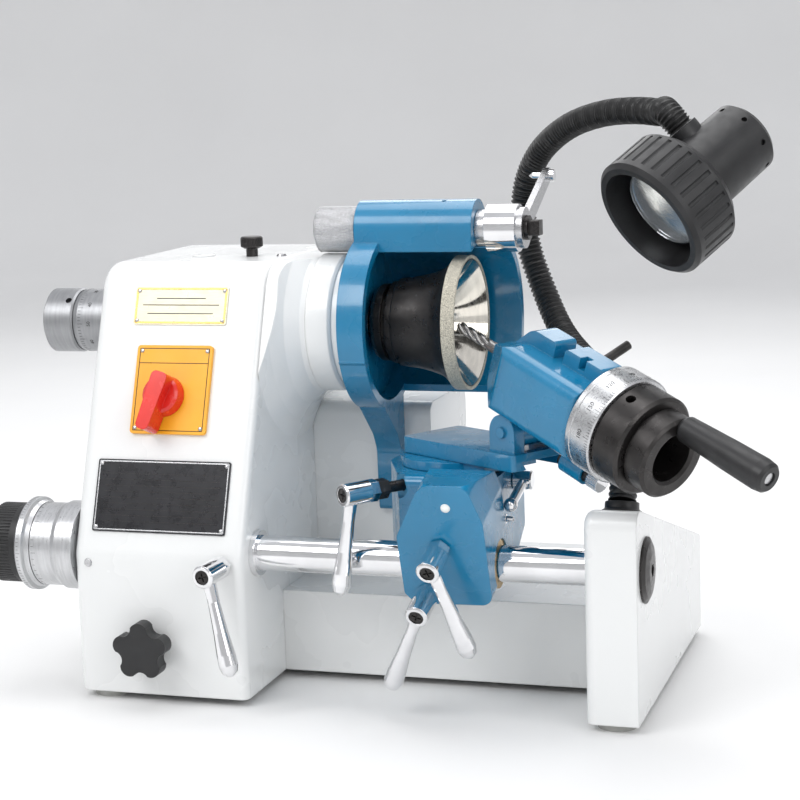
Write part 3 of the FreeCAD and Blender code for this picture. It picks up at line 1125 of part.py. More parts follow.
# Lamp -----------------------------------------------------------------------------------------------------
NECK_BASE = Vector(191.5, -85.0, 0)
NECK_FOOT = Vector(NECK_BASE.x, NECK_BASE.y, upright_top(NECK_BASE.y))
UPRIGHT_NORMAL = Vector(0, UPRIGHT_SLOPE, 1).normalize()
NECK_ROUTE = [NECK_FOOT + UPRIGHT_NORMAL * 8,
              Vector(191, -66, 176),
              Vector(184, -32, 197),
              Vector(166, 8, 214),
              Vector(140, 50, 228),
              Vector(112, 84, 246),
              Vector(94, 103, 276),
              Vector(80, 108, 312),
              Vector(76, 108, 350),
              Vector(90, 100, 383),
              Vector(118, 84, 405),
              Vector(151, 62, 415),
              Vector(184, 34, 417),
              Vector(209, 2, 415),
              NECK_END + NECK_SIDE * 18,
              NECK_END]


def swept_tube(points, radius):
    """Round tube along straight runs joined by the largest tangent arcs that fit."""
    edges = []
    previous = points[0]
    radii = []
    for index in range(1, len(points) - 1):
        here = points[index]
        back_run = points[index - 1] - here
        next_run = points[index + 1] - here
        turn = math.pi - back_run.getAngle(next_run)
        reach = 0.45 * min(back_run.Length, next_run.Length)
        arc_radius = reach / math.tan(turn / 2)
        radii.append(arc_radius)
        backward = back_run.normalize()
        forward = next_run.normalize()
        bisector = (backward + forward).normalize()
        start = here + backward * reach
        end = here + forward * reach
        centre_distance = arc_radius / math.cos(turn / 2)
        middle = here + bisector * (centre_distance - arc_radius)
        edges.append(Part.makeLine(previous, start))
        edges.append(Part.Arc(start, middle, end).toShape())
        previous = end
    edges.append(Part.makeLine(previous, points[-1]))
    path = Part.Wire(edges)
    section = Part.Wire([Part.Circle(points[0], points[1] - points[0], radius).toShape()])
    tube = path.makePipeShell([section], True, False)
    print("neck radii", [round(value) for value in radii], "volume ratio",
          round(tube.Volume / (math.pi * radius ** 2 * path.Length), 4))
    return tube


def neck_socket():
    return rod(7, NECK_FOOT - UPRIGHT_NORMAL * 14, NECK_FOOT + UPRIGHT_NORMAL * 2)


def gooseneck():
    """Lamp foot on the upright and the flexible neck that rises from it."""
    foot = turned([(-12, 0), (-12, 7), (0, 7), (0, 14), (2, 14), (3, 12), (8, 12), (8, 0)], NECK_FOOT, UPRIGHT_NORMAL)
    return group([foot, swept_tube(NECK_ROUTE, NECK_RADIUS)])


def lamp_head():
    """Black lamp barrel with the swivel socket on its side."""
    length = LAMP_BARREL_LENGTH
    rear = LAMP_AIM * -1
    barrel = turned([(0, 0), (0, LAMP_BARREL_RADIUS + 3), (3, LAMP_BARREL_RADIUS), (length - 4, LAMP_BARREL_RADIUS - 1),
                     (length, LAMP_BARREL_RADIUS - 5), (length, 0)], LAMP_REAR_RIM, rear)
    bore = rod(16, LAMP_REAR_RIM - rear * 1, LAMP_REAR_RIM + rear * 40)
    socket = rod(12, LAMP_ANCHOR + NECK_SIDE * 22, NECK_END - NECK_SIDE * GAP)
    vents = []
    side_dir = rear.cross(NECK_SIDE).normalize()
    for index in range(8):
        angle = math.radians(45 * index + 22.5)
        radial = NECK_SIDE * math.cos(angle) + side_dir * math.sin(angle)
        foot = LAMP_REAR_RIM + rear * (length - 10) + radial * (LAMP_BARREL_RADIUS - 4)
        vents.append(rod(2.0, foot, foot + radial * 8))
    return joined([barrel, socket]).cut([bore] + vents)


def lamp_bezel():
    """Ribbed bell with the open mouth."""
    length = LAMP_BEZEL_LENGTH
    radius = LAMP_BEZEL_RADIUS
    rear = LAMP_AIM * -1
    bell = turned([(0, radius - 7.5), (0, radius - 3), (3, radius), (length - 9, radius), (length - 3, radius - 6),
                   (length, LAMP_BARREL_RADIUS + 5), (length, 15), (length - 3, 15), (length - 3, radius - 14),
                   (length - 12, radius - 8), (10, radius - 7.5)], LAMP_FRONT, rear)
    side_dir = rear.cross(NECK_SIDE).normalize()
    grooves = []
    for index in range(32):
        angle = 2 * math.pi * index / 32
        radial = NECK_SIDE * math.cos(angle) + side_dir * math.sin(angle)
        foot = LAMP_FRONT + rear * 7 + radial * (radius + 0.6)
        grooves.append(rod(1.8, foot, foot + rear * (length - 18)))
    return bell.cut(grooves)


def lamp_lens():
    """Reflector lamp recessed in the bell."""
    rear = LAMP_AIM * -1
    return turned([(14, 0), (14, 28), (18, 30), (22, 30), (42, 14), (60, 14), (60, 0)], LAMP_FRONT, rear)


PARTS = {
    "column_housing": column_housing, "drive_case": drive_case, "bed": bed, "end_support": end_support,
    "end_screw": end_screw, "rear_cover": rear_cover, "rubber_feet": rubber_feet, "name_plate": name_plate,
    "switch_plate": switch_plate, "warning_plate": warning_plate, "small_fasteners": small_fasteners,
    "cable_gland": cable_gland, "switch_handle": switch_handle, "thumb_screw": thumb_screw, "star_knob": star_knob,
    "spindle_housing": spindle_housing, "spindle_bearings": spindle_bearings, "spindle_shaft": spindle_shaft,
    "wheel_hub": wheel_hub, "wheel_cup": wheel_cup, "abrasive_rim": abrasive_rim, "wheel_screw": wheel_screw,
    "wheel_guard": wheel_guard, "motor": motor, "motor_pulley": motor_pulley, "drive_belt": drive_belt,
    "guide_bar": guide_bar, "bar_bushes": bar_bushes, "feed_barrel": feed_barrel, "feed_dial": feed_dial,
    "feed_knob": feed_knob, "quill_sleeve": quill_sleeve, "quill_knob": quill_knob,
    "bar_lock_lever": bar_lock_lever, "upper_clamp_lever": upper_clamp_lever,
    "lower_clamp_lever": lower_clamp_lever, "side_clamp_lever": side_clamp_lever,
    "rear_clamp_lever": rear_clamp_lever, "carriage_bracket": carriage_bracket,
    "bracket_fittings": bracket_fittings, "bar_sleeve": bar_sleeve, "swivel_table": swivel_table,
    "cross_slide": cross_slide, "index_head": index_head, "index_plunger": index_plunger, "pawl_pin": pawl_pin,
    "head_quill": head_quill, "degree_ring": degree_ring, "index_nut": index_nut, "crank_grip": crank_grip,
    "cutting_tool": cutting_tool, "dresser_knob": dresser_knob, "dresser_shaft": dresser_shaft,
    "dresser_collar": dresser_collar, "dresser_arm": dresser_arm, "diamond_holder": diamond_holder,
    "gooseneck": gooseneck, "lamp_head": lamp_head, "lamp_bezel": lamp_bezel, "lamp_lens": lamp_lens}


def build():
    os.makedirs("parts", exist_ok=True)
    for name, make in PARTS.items():
        shape = make()
        solids = shape.Solids
        if not solids or not shape.isValid():
            raise RuntimeError(name + " is not a set of valid solids")
        result = solids[0] if len(solids) == 1 else Part.makeCompound(solids)
        result.exportStep("parts/" + name + ".step")
        print(name, len(solids), round(shape.Volume))


build()
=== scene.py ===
import json
import math

import bpy
from mathutils import Matrix, Vector

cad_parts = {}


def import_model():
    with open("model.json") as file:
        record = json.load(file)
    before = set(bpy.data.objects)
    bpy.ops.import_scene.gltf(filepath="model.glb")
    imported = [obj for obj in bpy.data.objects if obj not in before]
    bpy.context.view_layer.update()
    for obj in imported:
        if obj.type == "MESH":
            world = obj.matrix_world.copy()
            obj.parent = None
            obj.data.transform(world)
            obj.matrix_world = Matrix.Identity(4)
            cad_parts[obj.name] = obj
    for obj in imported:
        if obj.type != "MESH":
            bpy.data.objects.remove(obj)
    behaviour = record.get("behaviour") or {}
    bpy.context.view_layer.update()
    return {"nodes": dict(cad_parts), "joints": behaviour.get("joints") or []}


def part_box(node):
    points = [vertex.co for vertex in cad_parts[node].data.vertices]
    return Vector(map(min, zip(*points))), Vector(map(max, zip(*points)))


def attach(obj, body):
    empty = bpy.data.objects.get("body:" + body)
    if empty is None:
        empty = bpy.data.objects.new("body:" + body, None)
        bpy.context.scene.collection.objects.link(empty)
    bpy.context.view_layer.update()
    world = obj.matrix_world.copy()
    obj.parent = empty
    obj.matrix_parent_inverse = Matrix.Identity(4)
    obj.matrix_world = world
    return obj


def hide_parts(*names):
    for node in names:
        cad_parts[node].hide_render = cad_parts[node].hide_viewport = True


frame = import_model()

NODES = frame["nodes"]
JOINTS = {joint["name"]: joint for joint in frame["joints"]}
MM = 0.001
SCENE = bpy.context.scene


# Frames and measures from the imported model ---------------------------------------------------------
def joint_point(name):
    return Vector(JOINTS[name]["pos_m"])


def joint_axis(name):
    return Vector(JOINTS[name]["axis"]).normalized()


def axis_frame(origin, x_dir, z_hint):
    """Matrix whose X runs along x_dir and whose Z is near z_hint."""
    x = x_dir.normalized()
    y = z_hint.cross(x).normalized()
    z = x.cross(y)
    matrix = Matrix((x, y, z)).transposed().to_4x4()
    matrix.translation = origin
    return matrix


UP = Vector((0, 0, 1))
RIGHT = Vector((1, 0, 0))
HEAD = axis_frame(joint_point("quill_spin"), joint_axis("quill_spin"), UP)
SPINDLE = axis_frame(joint_point("spindle_spin"), RIGHT, UP)
DRESSER = axis_frame(joint_point("dresser_knob_turn"), RIGHT, UP)
BAR = axis_frame(joint_point("feed_turn"), RIGHT, UP)
LAMP_AIM = Vector((-0.57, -0.63, -0.53)).normalized()
LAMP_MOUTH = Vector((0.2074, -0.0600, 0.3441))
LAMP = axis_frame(LAMP_MOUTH, -LAMP_AIM, joint_axis("lamp_swivel"))


# Materials --------------------------------------------------------------------------------------
class Look:
    """A procedural material: principled shader with noise-driven colour, roughness and bump."""

    def __init__(self, name, color, roughness, metallic=0.0):
        self.material = bpy.data.materials.new(name)
        self.material.use_nodes = True
        self.tree = self.material.node_tree
        self.shader = self.tree.nodes["Principled BSDF"]
        self.shader.inputs["Base Color"].default_value = (*color, 1)
        self.shader.inputs["Roughness"].default_value = roughness
        self.shader.inputs["Metallic"].default_value = metallic
        self.color = color
        self.roughness = roughness
        self.coordinate = self.node("ShaderNodeTexCoord").outputs["Object"]
        self.normal = None

    def node(self, kind, **values):
        made = self.tree.nodes.new(kind)
        for key, value in values.items():
            if key in made.inputs:
                made.inputs[key].default_value = value
            else:
                setattr(made, key, value)
        return made

    def link(self, start, end):
        self.tree.links.new(start, end)

    def noise(self, scale, detail=3.0, stretch=None):
        """Noise in metres; stretch holds one factor for each axis."""
        texture = self.node("ShaderNodeTexNoise", Scale=scale, Detail=detail)
        source = self.coordinate
        if stretch is not None:
            mapping = self.node("ShaderNodeMapping", Scale=stretch)
            self.link(source, mapping.inputs["Vector"])
            source = mapping.outputs["Vector"]
        self.link(source, texture.inputs["Vector"])
        return texture.outputs["Fac"]

    def ramp(self, source, low, high, start=0.3, end=0.7):
        ramp = self.node("ShaderNodeValToRGB")
        ramp.color_ramp.elements[0].position = start
        ramp.color_ramp.elements[0].color = (*low, 1)
        ramp.color_ramp.elements[1].position = end
        ramp.color_ramp.elements[1].color = (*high, 1)
        self.link(source, ramp.inputs["Fac"])
        return ramp.outputs["Color"]

    def vary_color(self, scale, amount, stretch=None, detail=4.0):
        """Darker and lighter patches round the base colour."""
        low = [channel * (1 - amount) for channel in self.color]
        high = [min(1.0, channel * (1 + amount)) for channel in self.color]
        source = self.noise(scale, detail, stretch)
        self.link(self.ramp(source, low, high), self.shader.inputs["Base Color"])
        return self

    def vary_roughness(self, scale, amount, stretch=None):
        spread = self.node("ShaderNodeMapRange")
        spread.inputs["From Min"].default_value = 0.3
        spread.inputs["From Max"].default_value = 0.7
        spread.inputs["To Min"].default_value = max(0.02, self.roughness - amount)
        spread.inputs["To Max"].default_value = min(1.0, self.roughness + amount)
        self.link(self.noise(scale, 3.0, stretch), spread.inputs["Value"])
        self.link(spread.outputs["Result"], self.shader.inputs["Roughness"])
        return self

    def bump(self, scale, depth, stretch=None, detail=2.0):
        """Relief of about depth metres."""
        bump = self.node("ShaderNodeBump", Strength=1.0, Distance=depth)
        self.link(self.noise(scale, detail, stretch), bump.inputs["Height"])
        if self.normal is not None:
            self.link(self.normal, bump.inputs["Normal"])
        self.normal = bump.outputs["Normal"]
        self.link(self.normal, self.shader.inputs["Normal"])
        return self

    def soft_edges(self, radius):
        """Rounded shading where two faces meet."""
        bevel = self.node("ShaderNodeBevel", Radius=radius, samples=6)
        self.normal = bevel.outputs["Normal"]
        self.link(self.normal, self.shader.inputs["Normal"])
        return self

    def coat(self, weight, roughness):
        self.shader.inputs["Coat Weight"].default_value = weight
        self.shader.inputs["Coat Roughness"].default_value = roughness
        return self

    def dusty(self, color, scale, start, end):
        """Second colour that shows through in spots of the noise."""
        mask = self.node("ShaderNodeMapRange")
        mask.inputs["From Min"].default_value = start
        mask.inputs["From Max"].default_value = end
        self.link(self.noise(scale, 6.0), mask.inputs["Value"])
        mix = self.node("ShaderNodeMix", data_type="RGBA")
        base = self.shader.inputs["Base Color"]
        if base.links:
            self.link(base.links[0].from_socket, mix.inputs["A"])
        else:
            mix.inputs["A"].default_value = (*self.color, 1)
        mix.inputs["B"].default_value = (*color, 1)
        self.link(mask.outputs["Result"], mix.inputs["Factor"])
        self.link(mix.outputs["Result"], base)
        return self


def machined(name, color, roughness, grain=(8, 1, 1), mark=0.00002):
    """Turned or ground metal with fine tool marks across one axis."""
    look = Look(name, color, roughness, 1.0).soft_edges(0.0004)
    look.vary_color(60, 0.10, grain).vary_roughness(240, 0.08, grain)
    return look.bump(420, mark, grain).material


def white_paint():
    look = Look("white_paint", (0.80, 0.81, 0.805), 0.28).soft_edges(0.0016)
    look.vary_color(5, 0.008, detail=1.0).vary_roughness(14, 0.05).bump(330, 0.00004)
    return look.coat(0.35, 0.12).material


def blue_paint():
    look = Look("blue_paint", (0.004, 0.185, 0.360), 0.28).soft_edges(0.0011)
    look.vary_color(14, 0.12).vary_roughness(45, 0.08).bump(420, 0.00005)
    look.dusty((0.10, 0.30, 0.46), 90, 0.70, 0.90)
    return look.coat(0.6, 0.08).material


def chrome():
    look = Look("chrome", (0.82, 0.82, 0.83), 0.07, 1.0).soft_edges(0.0005)
    look.vary_color(50, 0.06).vary_roughness(160, 0.04)
    return look.bump(900, 0.000004).material


def oxide_steel():
    look = Look("oxide_steel", (0.045, 0.042, 0.041), 0.34, 0.75).soft_edges(0.0006)
    look.vary_color(70, 0.25).vary_roughness(180, 0.10).bump(700, 0.00002)
    return look.dusty((0.16, 0.15, 0.145), 160, 0.66, 0.9).material


def black_plastic():
    look = Look("black_plastic", (0.014, 0.014, 0.015), 0.42).soft_edges(0.0006)
    return look.vary_color(80, 0.25).vary_roughness(120, 0.08).bump(1500, 0.00003).material


def black_rubber():
    look = Look("ribbed_sheath", (0.012, 0.012, 0.012), 0.40)
    return look.vary_color(60, 0.3).vary_roughness(200, 0.10).bump(900, 0.00002).material


def red_plastic():
    look = Look("red_plastic", (0.72, 0.018, 0.010), 0.25).soft_edges(0.0007)
    return look.vary_color(60, 0.08).vary_roughness(120, 0.05).bump(1200, 0.00001).coat(0.4, 0.1).material


def yellow_plastic():
    look = Look("yellow_plate", (0.90, 0.42, 0.015), 0.35).soft_edges(0.0005)
    return look.vary_color(50, 0.05).vary_roughness(90, 0.06).bump(1100, 0.00002).material


def cream_metal():
    look = Look("cream_plate", (0.70, 0.65, 0.49), 0.33, 0.25)
    return look.vary_color(140, 0.07, (1, 12, 12)).vary_roughness(200, 0.06).bump(900, 0.00001).material


def black_label():
    look = Look("black_plate", (0.012, 0.012, 0.015), 0.30, 0.2)
    return look.vary_color(90, 0.25).vary_roughness(150, 0.08).bump(1300, 0.00001).material


def grey_rubber():
    look = Look("foot_rubber", (0.42, 0.42, 0.40), 0.75)
    return look.vary_color(120, 0.15).bump(800, 0.00006).material


def abrasive():
    look = Look("abrasive", (0.50, 0.47, 0.39), 0.85)
    look.vary_color(1500, 0.55, detail=6.0).bump(1700, 0.00025)
    return look.dusty((0.16, 0.15, 0.13), 900, 0.56, 0.74).material


def bronze():
    look = Look("bronze", (0.55, 0.38, 0.18), 0.30, 1.0)
    return look.vary_color(90, 0.12).vary_roughness(150, 0.08).bump(600, 0.00002).material


def white_enamel():
    look = Look("white_enamel", (0.85, 0.86, 0.84), 0.2)
    return look.vary_color(200, 0.04).bump(900, 0.00001).coat(0.5, 0.1).material


def ink():
    look = Look("dial_ink", (0.015, 0.015, 0.016), 0.5)
    return look.vary_color(500, 0.2).bump(900, 0.00001).material


def glass():
    look = Look("lamp_glass", (0.92, 0.95, 0.97), 0.06)
    look.shader.inputs["Transmission Weight"].default_value = 0.92
    look.shader.inputs["IOR"].default_value = 1.45
    return look.vary_roughness(90, 0.03).bump(260, 0.00005).material


WHITE = white_paint()
BLUE = blue_paint()
CHROME = chrome()
STEEL = machined("ground_steel", (0.55, 0.55, 0.56), 0.27, (1, 9, 9))
ALUMINIUM = machined("turned_aluminium", (0.60, 0.605, 0.615), 0.34, (9, 1, 1))
GREY_ALUMINIUM = machined("grey_aluminium", (0.34, 0.345, 0.355), 0.42, (9, 1, 1))
TOOL_STEEL = machined("tool_steel", (0.22, 0.215, 0.21), 0.22, (6, 1, 1), 0.00001)
SATIN = machined("satin_ring", (0.56, 0.565, 0.575), 0.30, (3, 3, 3), 0.000008)
POLISHED = machined("polished_cone", (0.80, 0.76, 0.68), 0.10, (6, 1, 1), 0.000004)
OXIDE = oxide_steel()
BLACK = black_plastic()
SHEATH = black_rubber()
RED = red_plastic()
YELLOW = yellow_plastic()
CREAM = cream_metal()
LABEL = black_label()
RUBBER = grey_rubber()
GRIT = abrasive()
BRONZE = bronze()
ENAMEL = white_enamel()
INK = ink()
GLASS = glass()
GOLD = machined("gold_border", (0.55, 0.38, 0.12), 0.3, (2, 2, 2))

NODE_LOOKS = {
    "column_housing": WHITE, "drive_case": WHITE, "bed": WHITE, "end_support": WHITE, "rear_cover": WHITE,
    "spindle_housing": WHITE, "wheel_guard": BLUE, "carriage_bracket": BLUE, "swivel_table": BLUE,
    "cross_slide": BLUE, "index_head": BLUE, "end_screw": OXIDE, "rubber_feet": RUBBER, "name_plate": CREAM,
    "switch_plate": YELLOW, "warning_plate": LABEL, "small_fasteners": STEEL, "cable_gland": BLACK,
    "switch_handle": RED, "thumb_screw": OXIDE, "star_knob": BLACK, "spindle_bearings": STEEL,
    "spindle_shaft": STEEL, "wheel_hub": OXIDE, "wheel_cup": OXIDE, "abrasive_rim": GRIT,
    "wheel_screw": OXIDE,
    "motor": OXIDE, "motor_pulley": STEEL, "drive_belt": SHEATH, "guide_bar": CHROME, "bar_bushes": CHROME,
    "feed_barrel": ALUMINIUM, "feed_dial": ALUMINIUM, "feed_knob": BLACK, "quill_sleeve": GREY_ALUMINIUM,
    "quill_knob": GREY_ALUMINIUM, "bar_lock_lever": CHROME, "upper_clamp_lever": CHROME,
    "lower_clamp_lever": CHROME, "side_clamp_lever": CHROME, "rear_clamp_lever": CHROME,
    "bracket_fittings": CHROME, "bar_sleeve": BRONZE, "index_plunger": OXIDE, "pawl_pin": OXIDE,
    "head_quill": STEEL, "degree_ring": SATIN, "index_nut": OXIDE, "crank_grip": BLACK, "cutting_tool": STEEL,
    "dresser_knob": STEEL, "dresser_shaft": STEEL, "dresser_collar": CHROME, "dresser_arm": STEEL,
    "diamond_holder": CHROME, "gooseneck": SHEATH, "lamp_head": BLACK, "lamp_bezel": BLACK,
    "lamp_lens": GLASS}


def dress_nodes():
    for name, material in NODE_LOOKS.items():
        data = NODES[name].data
        data.materials.clear()
        data.materials.append(material)
        data.polygons.foreach_set("material_index", [0] * len(data.polygons))


def repaint(node, material, test):
    """Gives material to the node's faces whose centre passes test."""
    data = NODES[node].data
    data.materials.append(material)
    index = len(data.materials) - 1
    for polygon in data.polygons:
        if test(polygon.center):
            polygon.material_index = index


def shells(node):
    """The node's separate solids as lists of faces, largest first."""
    data = NODES[node].data
    leader = {}

    def root(key):
        while leader[key] != key:
            leader[key] = leader[leader[key]]
            key = leader[key]
        return key

    keys = [tuple(round(value * 1e6) for value in vertex.co) for vertex in data.vertices]
    for key in keys:
        leader.setdefault(key, key)
    for polygon in data.polygons:
        first = root(keys[polygon.vertices[0]])
        for vertex in polygon.vertices[1:]:
            leader[root(keys[vertex])] = first
    found = {}
    for polygon in data.polygons:
        found.setdefault(root(keys[polygon.vertices[0]]), []).append(polygon)
    return sorted(found.values(), key=lambda faces: -sum(face.area for face in faces))


def repaint_small_shells(node, material):
    data = NODES[node].data
    parts = shells(node)
    data.materials.append(material)
    index = len(data.materials) - 1
    for faces in parts[1:]:
        for face in faces:
            face.material_index = index


def dress_details():
    """Second materials on single nodes: lever screws, studs, collar faces."""
    for lever in ("bar_lock_lever", "upper_clamp_lever", "lower_clamp_lever", "side_clamp_lever"):
        repaint_small_shells(lever, OXIDE)
    root = joint_point("side_lever_turn")
    axis = joint_axis("side_lever_turn")
    repaint("side_clamp_lever", OXIDE, lambda centre: (centre - root).dot(axis) < 23.5 * MM)
    collar_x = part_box("dresser_collar")[0].x
    repaint("dresser_collar", OXIDE, lambda centre: centre.x > collar_x + 23.5 * MM)
    fittings = NODES["bracket_fittings"].data
    fittings.materials.append(ENAMEL)
    for polygon in fittings.polygons:
        if polygon.center.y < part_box("bracket_fittings")[0].y + 6 * MM:
            polygon.material_index = 1
    head = HEAD.inverted()
    repaint("index_plunger", CHROME, lambda centre: (head @ centre).x > 153.5 * MM)
    repaint_small_shells("crank_grip", STEEL)
    bolt_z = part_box("column_housing")[1].z
    fasteners = NODES["small_fasteners"].data
    fasteners.materials.append(WHITE)
    for polygon in fasteners.polygons:
        if polygon.center.z > bolt_z - 1 * MM and polygon.center.x < -0.12:
            polygon.material_index = 1


# Mesh helpers ------------------------------------------------------------------------------------------
def mesh_piece(name, points, faces, material, body, smooth=True):
    data = bpy.data.meshes.new(name)
    data.from_pydata([tuple(point) for point in points], [], faces)
    data.validate()
    data.materials.append(material)
    if smooth:
        data.polygons.foreach_set("use_smooth", [True] * len(data.polygons))
        data.set_sharp_from_angle(angle=math.radians(35))
    piece = bpy.data.objects.new(name, data)
    SCENE.collection.objects.link(piece)
    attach(piece, body)
    return piece


def ring_faces(rows, count):
    """Quads between successive closed rings of count points."""
    faces = []
    for row in range(rows - 1):
        for index in range(count):
            a = row * count + index
            b = row * count + (index + 1) % count
            faces.append((a, b, b + count, a + count))
    return faces


def capped_faces(rows, count):
    """Faces of a tube of rows rings, closed at both ends."""
    last = (rows - 1) * count
    return ring_faces(rows, count) + [tuple(range(count))[::-1], tuple(range(last, last + count))]


def lathe(profile, matrix, count=96, shape=None, ring=False):
    """Skin of rings; profile holds (x, radius) in mm, shape(x, angle, radius) may alter the radius.

    The ends are capped, or for a ring the profile is a closed loop round the axis.
    """
    if ring:
        profile = profile + profile[:1]
    points = []
    for x, radius in profile:
        for index in range(count):
            angle = 2 * math.pi * index / count
            used = shape(x, angle, radius) if shape else radius
            points.append(matrix @ Vector((x * MM, used * MM * math.cos(angle), used * MM * math.sin(angle))))
    if ring:
        last = (len(profile) - 1) * count
        faces = [tuple(vertex % last for vertex in face) for face in ring_faces(len(profile), count)]
        return points[:last], faces
    return points, capped_faces(len(profile), count)


def even(start, end, count):
    return [start + (end - start) * index / (count - 1) for index in range(count)]


# Pieces that stand for CAD nodes ------------------------------------------------------------------------
def cutter():
    """Four-flute end mill with a right-hand helix that runs out into a plain shank."""
    flutes = 4
    flute_end = 30.0
    flute_depth = 0.42
    helix = math.tan(math.radians(33)) / 4.0

    def cross_section(x, angle, radius):
        fade = min(1.0, max(0.0, (flute_end + 6 - x) / 8))
        turn = flutes * (angle - x * helix)
        wave = (1 + math.cos(turn + 0.6 * math.sin(turn))) / 2
        return radius * (1 - flute_depth * fade * wave ** 1.4)

    profile = [(0.0, 3.0), (0.5, 3.9)]
    profile += [(x, 4.0) for x in even(0.8, 38, 110)]
    profile += [(103.5, 4.0), (104.0, 3.8)]
    points, faces = lathe(profile, HEAD, 72, cross_section)
    piece = mesh_piece("fluted_cutter", points, faces, TOOL_STEEL, "quill")
    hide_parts("cutting_tool")


def grinding_wheel():
    """Thin-lipped abrasive ring on a cup whose inside is a polished cone."""
    face = SPINDLE.copy()
    face.translation.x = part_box("abrasive_rim")[1].x
    rim = [(-10, 47.5), (-10, 49.8), (-9.8, 50), (-0.4, 50), (0, 49.6), (0, 47.9), (-0.3, 47.5)]
    points, faces = lathe(rim, face, 180, ring=True)
    abrasive_piece = mesh_piece("abrasive_ring", points, faces, GRIT, "wheel_spindle")
    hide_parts("abrasive_rim")
    cup = [(-54, 10.2), (-54, 32.4), (-53.4, 33), (-45, 33.8), (-37, 35), (-30, 36.7), (-23, 39),
           (-19, 40.9), (-16, 43), (-12.6, 46.6), (-10.2, 49), (-10.2, 47.3), (-0.9, 47.3), (-0.6, 47),
           (-0.6, 46.6), (-29, 23), (-33, 21), (-33, 10.2)]
    points, faces = lathe(cup, face, 180, ring=True)
    cup_piece = mesh_piece("wheel_cone", points, faces, OXIDE, "wheel_spindle")
    cup_piece.data.materials.append(POLISHED)
    to_face = face.inverted()
    for polygon in cup_piece.data.polygons:
        local = to_face @ polygon.center
        if local.x > -33.1 * MM and math.hypot(local.y, local.z) < (47.1 + local.x / MM * 0.83) * MM:
            polygon.material_index = 1
    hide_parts("wheel_cup")


def knurled_knob():
    """Dresser knob with a fine crossed knurl and a chamfered face."""
    left = (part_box("dresser_knob")[0].x - DRESSER.translation.x) / MM
    right = (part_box("dresser_knob")[1].x - DRESSER.translation.x) / MM
    pitch = 1.9
    turns = 56

    def crossed(x, angle, radius):
        if x < left + 2 or x > right - 1:
            return radius
        along = x / pitch
        around = turns * angle / (2 * math.pi)
        first = abs((along + around) % 1.0 - 0.5)
        second = abs((along - around) % 1.0 - 0.5)
        return radius - 1.5 * max(first, second)

    profile = [(left, 2.0), (left, 12.0), (left + 0.1, 15.6), (left + 1.2, 17.0)]
    profile += [(x, 17.25) for x in even(left + 1.5, right - 0.6, 110)]
    profile += [(right - 0.3, 16.6), (right, 16.0), (right, 6.0)]
    points, faces = lathe(profile, DRESSER, 336, crossed)
    piece = mesh_piece("knurled_dresser_knob", points, faces, STEEL, "dresser_feed", False)
    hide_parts("dresser_knob")


NECK_ROUTE = [(191.5, -82.56, 152.50), (191, -66, 176), (184, -32, 197), (166, 8, 214), (140, 50, 228),
              (112, 84, 246), (94, 103, 276), (80, 108, 312), (76, 108, 350), (90, 100, 383), (118, 84, 405),
              (151, 62, 415), (184, 34, 417), (209, 2, 415)]


def spline_samples(points, spacing):
    """Evenly spaced points along a smooth spline through the route's control points, in mm."""
    curve = bpy.data.curves.new("route", "CURVE")
    curve.dimensions = "3D"
    spline = curve.splines.new("NURBS")
    spline.points.add(len(points) - 1)
    for control, point in zip(spline.points, points):
        control.co = (*point, 1)
    spline.order_u = 3
    spline.use_endpoint_u = True
    spline.resolution_u = 40
    holder = bpy.data.objects.new("route", curve)
    SCENE.collection.objects.link(holder)
    bpy.context.view_layer.update()
    line = [vertex.co.copy() for vertex in bpy.data.meshes.new_from_object(holder).vertices]
    bpy.data.objects.remove(holder)
    bpy.data.curves.remove(curve)
    samples = [line[0]]
    left = spacing
    for start, stop in zip(line, line[1:]):
        length = (stop - start).length
        travelled = 0.0
        while length - travelled >= left:
            travelled += left
            samples.append(start.lerp(stop, travelled / length))
            left = spacing
        left -= length - travelled
    return samples + [line[-1]]


def gooseneck():
    """Corrugated sheath: coarse ribs from the foot, fine ribs near the lamp, on a turned foot."""
    end = joint_point("lamp_swivel") / MM
    side = joint_axis("lamp_swivel")
    route = [Vector(point) for point in NECK_ROUTE] + [end + side * 18, end]
    spacing = 0.5
    samples = spline_samples(route, spacing)
    count = 32
    points = []
    phase = 0.0
    normal = RIGHT.copy()
    for index, centre in enumerate(samples):
        ahead = samples[min(index + 1, len(samples) - 1)] - samples[max(index - 1, 0)]
        tangent = ahead.normalized()
        normal = (normal - tangent * normal.dot(tangent)).normalized()
        across = tangent.cross(normal)
        share = index / (len(samples) - 1)
        pitch = 4.4 - 1.8 * min(1.0, max(0.0, (share - 0.35) / 0.4))
        phase += 2 * math.pi * spacing / pitch
        radius = 9.2 + 0.75 * math.sin(phase)
        for step in range(count):
            angle = 2 * math.pi * step / count
            offset = normal * math.cos(angle) + across * math.sin(angle)
            points.append((centre + offset * radius) * MM)
    faces = capped_faces(len(samples), count)
    neck = mesh_piece("corrugated_neck", points, faces, SHEATH, "frame")
    foot_normal = Vector((0, 0.2914, 0.9566))
    foot_frame = axis_frame((route[0] - foot_normal * 8) * MM, foot_normal, Vector((0, 1, 0)))
    profile = [(-11, 6.8), (0, 6.9), (0.1, 13.4), (0.6, 13.9), (1.9, 13.9), (2.6, 12.6), (3.4, 12.0),
               (7.4, 11.9), (8, 11.2)]
    foot_points, foot_faces = lathe(profile, foot_frame, 64)
    foot = mesh_piece("neck_foot", foot_points, foot_faces, BLACK, "frame")
    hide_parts("gooseneck")
    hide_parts("gooseneck")


